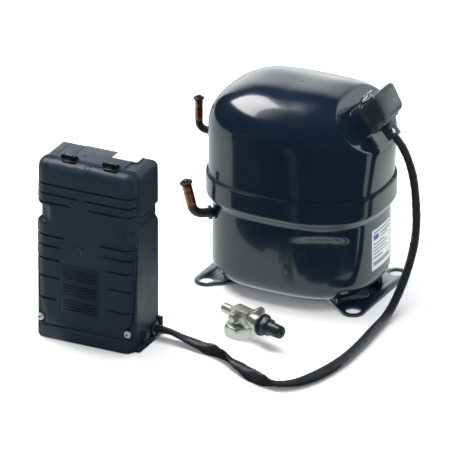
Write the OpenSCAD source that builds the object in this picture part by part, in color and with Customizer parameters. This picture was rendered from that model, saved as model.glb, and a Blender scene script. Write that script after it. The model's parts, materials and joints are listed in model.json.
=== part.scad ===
/* [Shell] */
// Length of the welded shell over its bell, along X
shell_length = 236; // [200:1:280]
// Width of the welded shell over its bell, along Y
shell_width = 194; // [170:1:230]
// Plan radius of the bell's corners
bell_corner_r = 80; // [72:1:84]
// Wall thickness of both shell halves
shell_wall = 3; // [2:0.5:4]
// Height of the shell's top above the mounting plane
shell_top = 268; // [262:1:300]
// Gap between the mounting plane and the shell's bottom
shell_lift = 10; // [8:1:16]
// Height of the crease where the lower shell flares into its bell
crease_z = 123; // [121:1:128]
// Height of the bell band above the crease
bell_height = 25; // [18:1:30]
// How far the bell stands out from the lower shell's side
bell_step = 8; // [6:1:10]
// Radius of the upper shell's shoulder
shoulder_r = 62; // [50:1:66]
// Radius round the lower shell's bottom edge
bottom_r = 22; // [14:1:30]

/* [Mounting feet] */
// Distance between foot holes along X
foot_span_x = 204; // [190:1:230]
// Distance between foot holes along Y
foot_span_y = 124; // [100:1:140]
// Diameter of the foot holes
foot_hole_d = 19; // [12:0.5:20]
// Thickness of the foot rails
foot_plate = 3; // [2:0.5:4]

/* [Pump] */
// Bore of the cylinder
bore_d = 42; // [38:0.5:44]
// Throw of the crank pin
crank_throw = 10; // [8:0.5:11]
// Diameter of the crankshaft's journal
journal_d = 20; // [18:0.5:22]
// Diameter of the crank pin
crank_pin_d = 16; // [14:0.5:17]
// Height of the cylinder's axis
cylinder_z = 70; // [68:0.5:74]

/* [Motor] */
// Outside diameter of the stator stack
stator_d = 148; // [130:1:154]
// Outside diameter of the rotor
rotor_d = 76; // [66:1:80]
// Height of the stator stack
stack_height = 56; // [40:1:66]

/* [Pipe stubs] */
// Outside diameter of the discharge stub
discharge_d = 9.5; // [8:0.5:12]
// Outside diameter of the suction stub
suction_d = 12; // [9:0.5:14]

/* [Electrical box] */
// Width of the electrical box
box_w = 135; // [120:1:160]
// Depth of the electrical box
box_d = 74; // [70:1:95]
// Height of the electrical box
box_h = 238; // [225:1:270]
// Wall thickness of the electrical box
box_wall = 2.5; // [2:0.5:3.5]
// Diameter of the capacitors' cans
capacitor_d = 44; // [36:1:46]

/* [Lead] */
// Diameter of the lead's sleeve
cord_d = 12; // [8:0.5:14]

/* [Service valve] */
// Width across flats of the union nut
nut_af = 36; // [30:1:40]
// Height of the union nut
nut_h = 15; // [12:0.5:18]
// Height of the service valve's axis
valve_z = 26; // [25:0.5:30]
// Diameter of the service valve's seal cap
valve_cap_d = 28; // [22:1:34]

/* [Hidden] */
$fn = 96;
e = 0.01;

// running fit between a shaft and its hole, on the radius
fit = 0.03;
// clearance between fixed pieces that only touch
touch = 0.1;
// clearance between pieces that move past each other
run = 0.4;

// welded shell
dx = shell_length / 2 - bell_corner_r;
dy = shell_width / 2 - bell_corner_r;
bell_r = bell_corner_r;
lower_r = bell_r - bell_step;
upper_r = bell_r - shell_wall - touch;
bell_top = crease_z + bell_height;
socket_depth = 20;
flare_h = 13;
shoulder_z = shell_top - shoulder_r;

// rating plate on the shell's +X end
plate_low = 41;
plate_h = 55;
plate_from = -23;
plate_w = 53;
plate_film = 0.5;

// flat facet pressed across the shoulder at the shell's +X end, the terminal's seat
seat_tilt = 50;
facet_depth = 15;
seat_x = dx + upper_r - shoulder_r + (shoulder_r - facet_depth) * sin(seat_tilt);
seat_z = shoulder_z + (shoulder_r - facet_depth) * cos(seat_tilt);
terminal_r = 16;
pin_ring_r = 8;
pin_r = 1.6;
glass_r = 3.2;
fence_x = 36;
fence_y = 54;
fence_h = 30;
fence_wall = 2;
cover_low = 14;
cover_rim = 6;
cover_gap = 1;
cover_top = 53;
cover_wall = 2;
block_h = 12;
wire_r = 4;
clip_w = 8;
clip_t = 1.2;
clip_hook = 1.4;
clamp_x = 38;
clamp_w = 18;
clamp_h = 11;
clamp_z = 20;
clamp_screw_r = 2;

// pump
pump_face = -57;
barrel_back = -27;
barrel_wall = 8;
piston_crown = -56.5;
piston_l = 25;
yoke_inner = crank_pin_d / 2 + 2.5;
yoke_wall = 4.5;
yoke_h = 22;
slot_half = yoke_inner + crank_throw + 1;
yoke_half_x = slot_half + yoke_wall;
side_wall_x = yoke_half_x + 5;
side_wall = 6;
web_z = 92;
web_h = 9;
weight_z = 39;
weight_h = 8;
frame_z = 102;
frame_h = 8;
frame_r = 72;
hub_r = 17;
hub_top = 130;
lug_x = 58;
lug_y = 40;
lug_z = 50;
lug_h = 8;
lug_r = 12;
gasket_t = 0.6;
reed_t = 0.4;
plate_t = 5;
head_t = 15;
head_half_x = 33;
head_half_z = 26;
bolt_x = 27;
bolt_z = 20;

// motor
stack_z = 136;
stack_top = stack_z + stack_height;
air_gap = 0.4;
stator_bore = rotor_d / 2 + air_gap;
post_ring_r = stator_d / 2 - 8;
post_r = 6;
winding_in = rotor_d / 2 + 5;
winding_out = post_ring_r - post_r - 2;
winding_h = 20;
shaft_top = stack_top + 12;

// suspension
spring_z = shell_lift + shell_wall + 3;
spring_r = 10;
spring_wire = 2;
spring_turns = 5;

// pipe stubs
discharge_y = -18;
discharge_z = 186;
discharge_run = 9;
discharge_bend = 10;
discharge_rise = 30;
suction_z = 96;
suction_yaw = 217;
suction_run = 11;
suction_bend = 14;
suction_lean = 77;
suction_rise = 32;
tube_wall = 1;
plug_flange_t = 2;
swage = 0.25;

// electrical box
box_x = -222;
box_y = -295;
box_front_r = 14;
box_back_r = 5;
waist_z = 157;
waist_h = 21;
waist_in = 5;
seam_top_y = box_y + 18;
seam_slope = 15;
seam_gap = 0.4;
hinge_z = box_h + 4.5;
hinge_r = 3.6;
hinge_pin_r = 1.6;
hinge_l = 20;
hinge_lug = 4;
hinge_at = [-183, -126];
relay_z = 181;
gland_y = -236;
gland_z = 12;
gland_l = 3;
screw_in = 10;
screw_at = [box_x + screw_in, box_x + box_w - screw_in];
screw_z = 24;
boss_l = 12;
boss_half = 5.5;

// service valve, in its own frame: axis along +X through the union nut's centre
valve_at = [4, -180, 0];
valve_yaw = -20;
valve_half_w = 8;
valve_half_h = 10;
valve_back = 9;
valve_front = 19;
spigot_r = 6.5;
spigot_bore_r = 4.8;
spigot_l = 20;
socket_l = 16;
spigot_end = -valve_back - spigot_l;
neck_r = 7;
collar_r = 7.5;
neck_end = 27;
thread_r = 6;
thread_end = 36;
gland_h = 4;
nut_chamfer = 4;
cap_start = 27.2;
cap_skirt = 3;
cap_hex_af = 22;
cap_hex_l = 11;
cap_tip_r = 8.5;
cap_end = 75;
port_at = 12;
spindle_r = 2.4;

// lead: from the terminal clamp, down the shell's side, along the floor to the box
cord_route = [
    [129, 0, 220], [138, 0, 209], [146, -1, 196], [153, -2, 178], [158, -4, 158],
    [161, -6, 136], [163, -9, 114], [163, -13, 92], [161, -19, 70], [158, -28, 49],
    [155, -40, 31], [153, -55, 17], [152, -73, 9], [152, -95, 7], [154, -120, 7],
    [156, -150, 7], [157, -180, 7], [156, -210, 7], [152, -240, 7], [145, -266, 7],
    [134, -288, 7], [117, -301, 7], [97, -303, 7], [76, -294, 7], [54, -279, 7],
    [30, -265, 7], [4, -253, 7], [-22, -244, 7], [-48, -238, 9], [-66, -236, 12],
    [-84, -236, 12]
];
cord_sides = 10;
// a direction that the route never runs along
cord_across = [0.6, 0.2, 0.8];

// ---- shared shapes ----

// a profile in the radius-height plane carried round the shell's oval plan
module round_oval() {
    at = [[dx, dy], [-dx, dy], [-dx, -dy], [dx, -dy]];
    for (i = [0:3]) translate([at[i][0], at[i][1], 0]) rotate([0, 0, 90 * i]) {
        rotate_extrude(angle = 90) children();
        rotate([90, 0, 0]) linear_extrude(i % 2 == 0 ? 2 * dy : 2 * dx) children();
    }
}

// a box over the middle of the oval plan, between the corner centres
module oval_core(z0, z1) {
    translate([-dx, -dy, z0]) cube([2 * dx, 2 * dy, z1 - z0]);
}

module lower_profile(inset) {
    r = lower_r - inset;
    z = shell_lift + inset;
    corner = bottom_r - inset;
    translate([0, z]) square([r - corner, corner + e]);
    translate([0, z + corner]) square([r, crease_z - flare_h - z - corner]);
    intersection() {
        translate([r - corner, z + corner]) circle(corner);
        translate([r - corner - e, z]) square([corner + e, corner]);
    }
}

module bell_profile(inset) {
    top = bell_top + (inset > 0 ? 1 : 0);
    polygon([
        [0, crease_z - flare_h - e], [lower_r - inset, crease_z - flare_h - e],
        [bell_r - inset, crease_z], [bell_r - inset, top], [0, top]
    ]);
}

module upper_profile(inset) {
    r = upper_r - inset;
    corner = shoulder_r - inset;
    z0 = bell_top - socket_depth - (inset > 0 ? 1 : 0);
    translate([0, z0]) square([r, shoulder_z - z0]);
    translate([0, shoulder_z - e]) square([r - corner, corner + e]);
    intersection() {
        translate([r - corner, shoulder_z]) circle(corner);
        translate([r - corner - e, shoulder_z - e]) square([corner + e, corner + e]);
    }
}

module upper_solid() {
    round_oval() upper_profile(0);
    oval_core(bell_top - socket_depth, shell_top);
}

// local frame of the terminal: +Z leaves the shoulder, +X points down the side
module at_terminal() {
    translate([seat_x, 0, seat_z]) rotate([0, seat_tilt, 0]) children();
}

module at_valve() {
    translate(valve_at) rotate([0, 0, valve_yaw]) children();
}

// cylinder along +X
module rod_x(r, x0, x1) {
    translate([x0, 0, 0]) rotate([0, 90, 0]) cylinder(r = r, h = x1 - x0);
}

// cylinder along +Y
module rod_y(r, y0, y1) {
    translate([0, y1, 0]) rotate([90, 0, 0]) cylinder(r = r, h = y1 - y0);
}

module hex(af, h) {
    cylinder(r = af / 2 / cos(30), h = h, $fn = 6);
}

module rounded_rect(w, d, r) {
    translate([-w / 2 + r, -d / 2]) square([w - 2 * r, d]);
    translate([-w / 2, -d / 2 + r]) square([w, d - 2 * r]);
    for (sx = [-1, 1], sy = [-1, 1]) translate([sx * (w / 2 - r), sy * (d / 2 - r)]) circle(r);
}

// round pipe through a list of points
module pipe(points, r) {
    for (i = [0:len(points) - 2]) {
        a = points[i];
        d = points[i + 1] - a;
        turn = atan2(d[1], d[0]);
        tip = acos(d[2] / norm(d));
        translate(a) rotate([0, tip, turn]) cylinder(r = r, h = norm(d));
        if (i > 0) translate(a) sphere(r * 1.06);
    }
}

// ---- welded shell ----

module lower_shell() {
    color("#10181c") difference() {
        union() {
            round_oval() difference() {
                union() {
                    lower_profile(0);
                    bell_profile(0);
                }
                union() {
                    lower_profile(shell_wall);
                    bell_profile(shell_wall);
                }
            }
            oval_core(shell_lift, shell_lift + shell_wall);
        }
        stub_holes();
    }
}

module stub_holes() {
    suction_place() rod_x(suction_d / 2 + touch, -14, 8);
    translate([-dx - upper_r, discharge_y, discharge_z]) rod_x(discharge_d / 2 + touch, -8, 14);
}

module upper_shell() {
    color("#10181c") difference() {
        union() {
            round_oval() difference() {
                upper_profile(0);
                upper_profile(shell_wall);
            }
            oval_core(shell_top - shell_wall, shell_top);
            intersection() {
                upper_solid();
                facet_block(-shell_wall);
            }
        }
        facet_block(0);
        at_terminal() translate([0, 0, -20]) cylinder(r = terminal_r + touch, h = 30);
        stub_holes();
    }
}

// everything beyond a plane parallel to the facet
module facet_block(from) {
    at_terminal() translate([-shell_length / 2, -shell_width / 2, from])
        cube([shell_length, shell_width, shell_top / 2]);
}

module seam_weld() {
    color("#1a2226") round_oval() intersection() {
        translate([upper_r + touch, bell_top]) circle(shell_wall);
        translate([upper_r + touch, bell_top]) square(shell_wall);
    }
}

// ---- mounting feet ----

module foot_rail(side) {
    hx = foot_span_x / 2;
    hy = foot_span_y / 2;
    tab_r = foot_hole_d / 2 + 5.5;
    difference() {
        union() {
            linear_extrude(foot_plate) hull() {
                for (sy = [-1, 1]) {
                    translate([side * hx, sy * hy]) circle(tab_r, $fn = 48);
                    translate([side * (hx - 40), sy * (hy - 20)]) circle(5, $fn = 24);
                }
            }
            for (sy = [-1, 1]) foot_web(side, sy, hx, hy);
        }
        for (sy = [-1, 1]) translate([side * hx, sy * hy, -1]) cylinder(d = foot_hole_d, h = foot_plate + 2);
        round_oval() lower_profile(-touch / 2);
        oval_core(shell_lift - touch / 2, crease_z - flare_h);
    }
}

// upright web across each tab, welded under the shell's bottom edge
module foot_web(side, sy, hx, hy) {
    angle = atan2(sy * 27, side * 39);
    translate([side * (hx - 12), sy * (hy - 24), 0]) rotate([0, 0, angle])
        translate([-3, -22, 0]) cube([foot_plate, 44, shell_lift + bottom_r - 4]);
}

module foot_rail_left() {
    color("#10181c") foot_rail(-1);
}

module foot_rail_right() {
    color("#10181c") foot_rail(1);
}

// ---- pipe stubs ----

module suction_place() {
    c = [-dx + lower_r * cos(suction_yaw), -dy + lower_r * sin(suction_yaw), suction_z];
    translate(c) rotate([0, 0, suction_yaw]) children();
}

// tube out along +X, a bend upward and a straight end opened into a socket
module stub(d, run_l, bend, angle, rise, inside) {
    difference() {
        stub_solid(d / 2, run_l, bend, angle, rise, inside, 0);
        stub_solid(d / 2 - tube_wall, run_l, bend, angle, rise, inside, 1);
    }
}

module stub_solid(r, run_l, bend, angle, rise, inside, over) {
    rod_x(r, -inside - over, run_l);
    translate([run_l, 0, bend]) rotate([90, 0, 0]) rotate([0, 0, -90])
        rotate_extrude(angle = angle) translate([bend, 0]) circle(r);
    translate([run_l, 0, bend]) rotate([0, -angle, 0]) translate([0, 0, -bend])
        rod_x(r + swage, -1, rise + over);
}

// local frame at the stub's mouth, +X out of it
module stub_mouth(run_l, bend, angle, rise) {
    translate([run_l, 0, bend]) rotate([0, -angle, 0]) translate([rise, 0, -bend]) children();
}

module discharge_place() {
    translate([-dx - upper_r, discharge_y, discharge_z]) rotate([0, 0, 180]) children();
}

module suction_stub() {
    color("#b06a40") suction_place()
        stub(suction_d, suction_run, suction_bend, suction_lean, suction_rise, 8);
}

module discharge_stub() {
    color("#b06a40") discharge_place()
        stub(discharge_d, discharge_run, discharge_bend, 90, discharge_rise, 8);
}

module stub_collars() {
    color("#10181c") {
        suction_place() collar(suction_d / 2);
        discharge_place() collar(discharge_d / 2);
    }
}

module collar(r) {
    difference() {
        rod_x(r + 3, touch, 4);
        rod_x(r + touch / 2, -1, 6);
    }
}

module stub_plug(r) {
    rod_x(r - tube_wall - run / 2, -9, e);
    rod_x(r + 2.2, run, plug_flange_t + run);
    rod_x(r - tube_wall - run / 2, 0, run + e);
    rod_x(r - 1.5, plug_flange_t, plug_flange_t + 3);
}

module suction_plug() {
    color("#151515") suction_place()
        stub_mouth(suction_run, suction_bend, suction_lean, suction_rise) stub_plug(suction_d / 2);
}

module discharge_plug() {
    color("#151515") discharge_place()
        stub_mouth(discharge_run, discharge_bend, 90, discharge_rise) stub_plug(discharge_d / 2);
}

module rating_plate() {
    color("#e8e8e4") intersection() {
        round_oval() translate([lower_r + touch, plate_low]) square([plate_film, plate_h]);
        translate([dx, plate_from, 0]) cube([shell_length, plate_w, crease_z]);
    }
}

// ---- terminal ----

module terminal_body() {
    color("#8d9296") at_terminal() difference() {
        translate([0, 0, -7]) cylinder(r = terminal_r, h = 8);
        for (a = [90, 210, 330]) rotate([0, 0, a]) translate([pin_ring_r, 0, -8])
            cylinder(r = glass_r, h = 10);
    }
}

module terminal_glass() {
    color("#3b6a58") at_terminal() for (a = [90, 210, 330])
        rotate([0, 0, a]) translate([pin_ring_r, 0, -7]) difference() {
            cylinder(r = glass_r, h = 8);
            translate([0, 0, -1]) cylinder(r = pin_r, h = 10);
        }
}

module terminal_pins() {
    color("#c0b080") at_terminal() for (a = [90, 210, 330])
        rotate([0, 0, a]) translate([pin_ring_r, 0, -18]) cylinder(r = pin_r, h = 28);
}

module terminal_fence() {
    color("#1c2428") at_terminal() difference() {
        translate([0, 0, touch]) linear_extrude(fence_h - touch) rounded_rect(fence_x, fence_y, 9);
        linear_extrude(fence_h + 1)
            rounded_rect(fence_x - 2 * fence_wall, fence_y - 2 * fence_wall, 7);
        translate([0, 0, clamp_z]) rod_x(wire_r + touch, 0, fence_x);
    }
}

module terminal_block() {
    color("#202020") at_terminal() difference() {
        translate([-13, -13, 2]) cube([26, 24, block_h]);
        for (a = [90, 210, 330]) rotate([0, 0, a]) translate([pin_ring_r, 0, 0])
            cylinder(r = pin_r + touch, h = block_h - 1.5);
    }
}

module overload_protector() {
    color("#2b2b2b") at_terminal() translate([0, 17.5, 2]) {
        cylinder(r = 6, h = 14);
        cylinder(r = 4, h = 17);
    }
}

module terminal_cover() {
    in_x = fence_x + 2 * cover_gap;
    in_y = fence_y + 2 * cover_gap;
    out_x = in_x + 2 * cover_wall;
    out_y = in_y + 2 * cover_wall;
    color("#14191c") at_terminal() difference() {
        union() {
            translate([0, 0, cover_low]) linear_extrude(cover_rim) rounded_rect(out_x, out_y, 11);
            hull() {
                translate([0, 0, cover_low + cover_rim - 1]) linear_extrude(1)
                    rounded_rect(out_x - 1, out_y - 1, 10, $fn = 32);
                translate([0, 0, cover_top - 1]) linear_extrude(1)
                    rounded_rect(fence_x - 4, fence_y, 7, $fn = 32);
            }
        }
        translate([0, 0, cover_low - 1]) linear_extrude(fence_h - cover_low + 2)
            rounded_rect(in_x, in_y, 9, $fn = 32);
        translate([0, 0, cover_low]) linear_extrude(cover_top - cover_wall - cover_low)
            rounded_rect(fence_x - 9, fence_y - 6, 6, $fn = 32);
        translate([0, -clamp_w / 2 - 1, cover_low - 1])
            cube([fence_x, clamp_w + 2, clamp_z + clamp_h / 2 + 2 - cover_low]);
        for (s = [-1, 1]) translate([-out_x / 2 - 1, s * 12 - clip_w / 2 - fit, cover_low + cover_rim])
            cube([clip_hook + 1 + fit, clip_w + 2 * fit, 2 * clip_t]);
    }
}

// two spring clips that hook over the cover's rim on its upper side
module cover_clip() {
    at_x = -fence_x / 2 - cover_gap - cover_wall - touch - clip_t;
    color("#b8bcc0") at_terminal() for (s = [-1, 1])
        translate([at_x, s * 12 - clip_w / 2, cover_low - 6]) {
            cube([clip_t, clip_w, cover_rim + 8]);
            translate([0, 0, cover_rim + 6 + touch]) cube([clip_t + clip_hook, clip_w, clip_t]);
        }
}

module cord_clamp() {
    color("#171c1f") at_terminal() difference() {
        translate([fence_x / 2 + touch, -clamp_w / 2, clamp_z - clamp_h / 2])
            cube([clamp_x - fence_x / 2 - touch, clamp_w, clamp_h]);
        translate([0, 0, clamp_z]) rod_x(wire_r, fence_x / 2 - 1, clamp_x - 6);
        translate([clamp_x - 8, -6, clamp_z]) cylinder(r = clamp_screw_r, h = 10);
    }
}

module clamp_screw() {
    color("#9a9ea0") at_terminal() translate([clamp_x - 8, -6, clamp_z + 0.5]) {
        cylinder(r = clamp_screw_r - touch, h = clamp_h / 2);
        translate([0, 0, clamp_h / 2 - 0.5 + touch]) cylinder(r = 3.4, h = 2);
    }
}

// ---- lead ----

function unit(v) = v / norm(v);
function ring_dir(i) = i == 0 ? unit(cord_route[1] - cord_route[0])
    : i == len(cord_route) - 1 ? unit(cord_route[i] - cord_route[i - 1])
    : unit(cord_route[i + 1] - cord_route[i - 1]);
function side_dir(t) = unit(cross(t, cord_across));
function ring(i) = let (t = ring_dir(i), u = side_dir(t), v = cross(t, u))
    [for (k = [0:cord_sides - 1]) cord_route[i]
        + cord_d / 2 * (u * cos(360 * k / cord_sides) + v * sin(360 * k / cord_sides))];

module cord() {
    n = len(cord_route);
    m = cord_sides;
    points = [for (i = [0:n - 1]) each ring(i)];
    sides = [for (i = [0:n - 2], k = [0:m - 1])
        [i * m + k, i * m + (k + 1) % m, (i + 1) * m + (k + 1) % m, (i + 1) * m + k]];
    start = [for (k = [0:m - 1]) m - 1 - k];
    end = [for (k = [0:m - 1]) (n - 1) * m + k];
    color("#14181a") polyhedron(points, concat([start], sides, [end]), convexity = 4);
}

// ---- suspended pump ----

module crankcase() {
    zc = cylinder_z;
    barrel_r = bore_d / 2 + barrel_wall;
    color("#5b5f60") difference() {
        union() {
            translate([0, 0, frame_z]) cylinder(r = frame_r, h = frame_h);
            translate([0, 0, frame_z]) cylinder(r = hub_r, h = hub_top - frame_z);
            for (a = [45:90:315]) rotate([0, 0, a]) translate([post_ring_r, 0, frame_z])
                cylinder(r = post_r, h = stack_z - frame_z);
            translate([0, 0, zc]) rod_y(barrel_r, pump_face, barrel_back);
            translate([-head_half_x, pump_face, zc - head_half_z])
                cube([2 * head_half_x, 6, frame_z - zc + head_half_z + 1]);
            for (sx = [-1, 1]) {
                translate([sx > 0 ? side_wall_x : -side_wall_x - side_wall, pump_face, lug_z])
                    cube([side_wall, lug_y - pump_face, frame_z - lug_z + 1]);
                for (sy = [-1, 1]) {
                    translate([sx * lug_x, sy * lug_y, lug_z]) cylinder(r = lug_r, h = lug_h);
                    translate([sx > 0 ? side_wall_x : -lug_x, sy * lug_y - 6, lug_z])
                        cube([lug_x - side_wall_x, 12, lug_h]);
                }
            }
        }
        translate([0, 0, zc]) rod_y(bore_d / 2, pump_face - 1, barrel_back + 1);
        translate([0, 0, frame_z - 1]) cylinder(r = journal_d / 2 + fit, h = hub_top - frame_z + 2);
        for (sx = [-1, 1], sz = [-1, 1]) translate([sx * bolt_x, 0, zc + sz * bolt_z])
            rod_y(3, pump_face - 1, pump_face + 5);
        for (a = [45:90:315]) rotate([0, 0, a]) translate([post_ring_r, 0, stack_z - 14])
            cylinder(r = 3, h = 15);
    }
}

module head_layer(y0, y1) {
    translate([0, y1, cylinder_z]) rotate([90, 0, 0]) linear_extrude(y1 - y0)
        rounded_rect(2 * head_half_x, 2 * head_half_z, 6);
}

module head_bolt_holes(y0, y1) {
    for (sx = [-1, 1], sz = [-1, 1]) translate([sx * bolt_x, 0, cylinder_z + sz * bolt_z])
        rod_y(3, y0 - 1, y1 + 1);
}

gasket_y = pump_face - gasket_t;
reed_y = gasket_y - reed_t;
plate_y = reed_y - plate_t;
head_y = plate_y - gasket_t - head_t;

module cylinder_gasket() {
    color("#3d3a36") difference() {
        head_layer(gasket_y, pump_face);
        translate([0, 0, cylinder_z]) rod_y(bore_d / 2 + 0.5, gasket_y - 1, pump_face + 1);
        head_bolt_holes(gasket_y, pump_face);
    }
}

module suction_reed() {
    color("#a8acae") difference() {
        head_layer(reed_y, gasket_y);
        translate([-8, gasket_y + 1, cylinder_z - 15]) rotate([90, 0, 0])
            linear_extrude(3) difference() {
                translate([-3, 0]) rounded_rect(12, 26, 4);
                translate([-3, -4]) rounded_rect(8, 28, 3);
            }
        head_bolt_holes(reed_y, gasket_y);
    }
}

module valve_plate() {
    color("#8a8f92") difference() {
        head_layer(plate_y, reed_y);
        for (sx = [-1, 1]) translate([sx * 10, 0, cylinder_z]) rod_y(3.5, plate_y - 1, reed_y + 1);
        head_bolt_holes(plate_y, reed_y);
    }
}

module discharge_reed() {
    color("#a8acae") translate([6, plate_y, cylinder_z - 9]) rotate([90, 0, 0])
        linear_extrude(reed_t) rounded_rect(9, 18, 4);
}

module cylinder_head() {
    face = plate_y - gasket_t;
    color("#70757a") difference() {
        head_layer(head_y, face);
        for (sx = [-1, 1]) translate([sx * 12, face + 1, cylinder_z]) rotate([90, 0, 0])
            linear_extrude(11) rounded_rect(20, 38, 5);
        head_bolt_holes(head_y, face);
    }
}

module head_bolts() {
    color("#3c4043") for (sx = [-1, 1], sz = [-1, 1])
        translate([sx * bolt_x, 0, cylinder_z + sz * bolt_z]) {
            rod_y(3 - touch, head_y, pump_face + 4);
            translate([0, head_y, 0]) rotate([90, 0, 0]) hex(8, 3);
        }
}

module suction_muffler() {
    color("#d8d2c0") difference() {
        translate([54, -46, 61]) linear_extrude(36) rounded_rect(22, 30, 5);
        translate([54, -46, 63]) linear_extrude(32) rounded_rect(18, 26, 3.5);
    }
}

module discharge_muffler() {
    color("#4c5154") translate([-56, -40, 61]) difference() {
        cylinder(r = 14, h = 34);
        translate([0, 0, 2]) cylinder(r = 12, h = 30);
    }
}

module discharge_loop() {
    color("#b06a40") pipe([[-64, -27, 84], [-76, -8, 84], [-82, 6, 96], [-82, 8, 168],
        [-86, -6, 184], [-94, -18, 186]], 3);
}

// ---- motor ----

module stator() {
    slots = 24;
    color("#6f7376") difference() {
        translate([0, 0, stack_z]) cylinder(r = stator_d / 2, h = stack_height);
        translate([0, 0, stack_z - 1]) cylinder(r = stator_bore, h = stack_height + 2);
        for (i = [0:slots - 1]) rotate([0, 0, (i + 0.5) * 360 / slots])
            translate([stator_bore + 3, -2.2, stack_z - 1])
                cube([winding_out - stator_bore - 5, 4.4, stack_height + 2]);
        for (a = [45:90:315]) rotate([0, 0, a]) translate([post_ring_r, 0, stack_z - 1])
            cylinder(r = 3, h = stack_height + 2);
    }
}

module windings() {
    color("#a85f2c") for (z = [stack_z - winding_h, stack_top]) translate([0, 0, z])
        rotate_extrude() translate([(winding_in + winding_out) / 2, winding_h / 2])
            rounded_rect(winding_out - winding_in, winding_h, 6);
}

module stator_bolts() {
    color("#3c4043") for (a = [45:90:315]) rotate([0, 0, a]) translate([post_ring_r, 0, stack_z - 12]) {
        cylinder(r = 3 - touch, h = stack_height + 12);
        translate([0, 0, stack_height + 12]) hex(10, 4);
    }
}

module suspension_springs() {
    h = lug_z - spring_z;
    color("#8f9498") for (sx = [-1, 1], sy = [-1, 1]) translate([sx * lug_x, sy * lug_y, spring_z])
        linear_extrude(h, twist = -360 * spring_turns, slices = 60, $fn = 8)
            translate([spring_r - spring_wire, 0]) scale([1, 2.6]) circle(spring_wire / 2, $fn = 8);
}

module spring_seats() {
    floor_z = shell_lift + shell_wall;
    color("#4c5154") for (sx = [-1, 1], sy = [-1, 1]) translate([sx * lug_x, sy * lug_y, floor_z]) {
        cylinder(r = 12, h = spring_z - floor_z);
        cylinder(r = spring_r - spring_wire * 2 - 0.5, h = 14);
    }
}

// ---- running gear ----

module crankshaft() {
    color("#7c8184") {
        difference() {
            translate([0, 0, web_z]) cylinder(d = journal_d, h = shaft_top - web_z);
            translate([0, -crank_throw / 2, shaft_top - 8]) cylinder(r = 3 + fit, h = 9);
        }
        translate([0, 0, web_z]) cylinder(r = 20, h = web_h);
        translate([0, -crank_throw, weight_z + weight_h - e])
            cylinder(d = crank_pin_d, h = web_z - weight_z - weight_h + 2 * e);
        translate([0, 0, weight_z]) {
            cylinder(r = 12, h = weight_h);
            translate([0, -crank_throw, 0]) cylinder(r = 11, h = weight_h);
            intersection() {
                cylinder(r = 25, h = weight_h);
                translate([-26, 0, 0]) cube([52, 26, weight_h]);
            }
        }
    }
}

module rotor() {
    core_z = stack_z + 2;
    core_h = stack_height - 4;
    color("#8f9498") difference() {
        union() {
            translate([0, 0, core_z]) cylinder(d = rotor_d, h = core_h);
            translate([0, 0, core_z - 4]) cylinder(r = rotor_d / 2 - 2, h = core_h + 8);
        }
        translate([0, 0, core_z - 5]) cylinder(r = 24, h = 5);
        translate([0, 0, core_z + core_h]) cylinder(r = 24, h = 5);
        translate([0, 0, core_z - 5]) cylinder(d = journal_d + touch, h = core_h + 10);
    }
}

module oil_pickup() {
    color("#9a9ea0") translate([0, 0, weight_z - 20]) difference() {
        cylinder(r = 5, h = 20);
        translate([0, 0, -1]) cylinder(r = 3.5, h = 18);
    }
}

module gallery_plug() {
    color("#c9a24a") translate([0, -crank_throw / 2, shaft_top - 7]) cylinder(r = 3, h = 8);
}

module slide_block() {
    w = 2 * yoke_inner - 2 * fit;
    color("#b58a3e") translate([0, -crank_throw, cylinder_z]) difference() {
        translate([-yoke_inner, -w / 2, -yoke_h / 2]) cube([2 * yoke_inner, w, yoke_h]);
        translate([0, 0, -yoke_h / 2 - 1]) cylinder(r = crank_pin_d / 2 + fit, h = yoke_h + 2);
    }
}

module yoke_piston() {
    r = bore_d / 2 - fit;
    outer = yoke_inner + yoke_wall;
    color("#9aa0a3") translate([0, 0, cylinder_z]) {
        difference() {
            translate([-yoke_half_x, -crank_throw - outer, -yoke_h / 2])
                cube([2 * yoke_half_x, 2 * outer, yoke_h]);
            translate([-slot_half, -crank_throw - yoke_inner, -yoke_h])
                cube([2 * slot_half, 2 * yoke_inner, 2 * yoke_h]);
        }
        rod_y(9, piston_crown + piston_l - 5, -crank_throw - outer + 1);
        difference() {
            rod_y(r, piston_crown, piston_crown + piston_l);
            difference() {
                rod_y(r - 5, piston_crown + 6, piston_crown + piston_l + 1);
                rod_y(9, piston_crown, piston_crown + piston_l + 2);
            }
        }
    }
}

// ---- electrical box ----

module box_plan(inset) {
    r1 = box_front_r - min(inset, 6);
    r2 = box_back_r - min(inset, 3);
    w = box_w - 2 * inset;
    d = box_d - 2 * inset;
    translate([box_x + inset, box_y + inset]) {
        translate([r1, 0]) square([w - 2 * r1, d]);
        translate([0, r1]) square([w, d - r1 - r2]);
        for (x = [r1, w - r1]) translate([x, r1]) circle(r1);
        for (x = [r2, w - r2]) translate([x, d - r2]) circle(r2);
    }
}

// the box's plan at its waist, where both sides step in
module waist_plan(inset) {
    side = waist_in + inset;
    intersection() {
        box_plan(inset);
        translate([box_x + side, box_y]) square([box_w - 2 * side, box_d]);
    }
}

module box_block(inset) {
    z0 = inset;
    z1 = box_h - inset;
    low_top = waist_z - inset;
    high_bottom = waist_z + waist_h + inset;
    translate([0, 0, z0]) linear_extrude(low_top - z0) box_plan(inset);
    translate([0, 0, z0]) linear_extrude(z1 - z0) waist_plan(inset);
    translate([0, 0, high_bottom]) linear_extrude(z1 - high_bottom) box_plan(inset);
}

module box_walls() {
    difference() {
        box_block(0);
        box_block(box_wall);
    }
}

// where the slanted seam stands at a given height
function seam_y(z) = seam_top_y - seam_slope * (1 - z / box_h);

// everything in front of the slanted seam, moved back by a gap
module front_half(gap) {
    translate([box_x - 10, 0, 0]) rotate([90, 0, 90]) linear_extrude(box_w + 20) polygon([
        [box_y - 20, -1], [seam_top_y - seam_slope + gap, -1],
        [seam_top_y + gap, box_h + 1], [box_y - 20, box_h + 1]
    ]);
}

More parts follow.
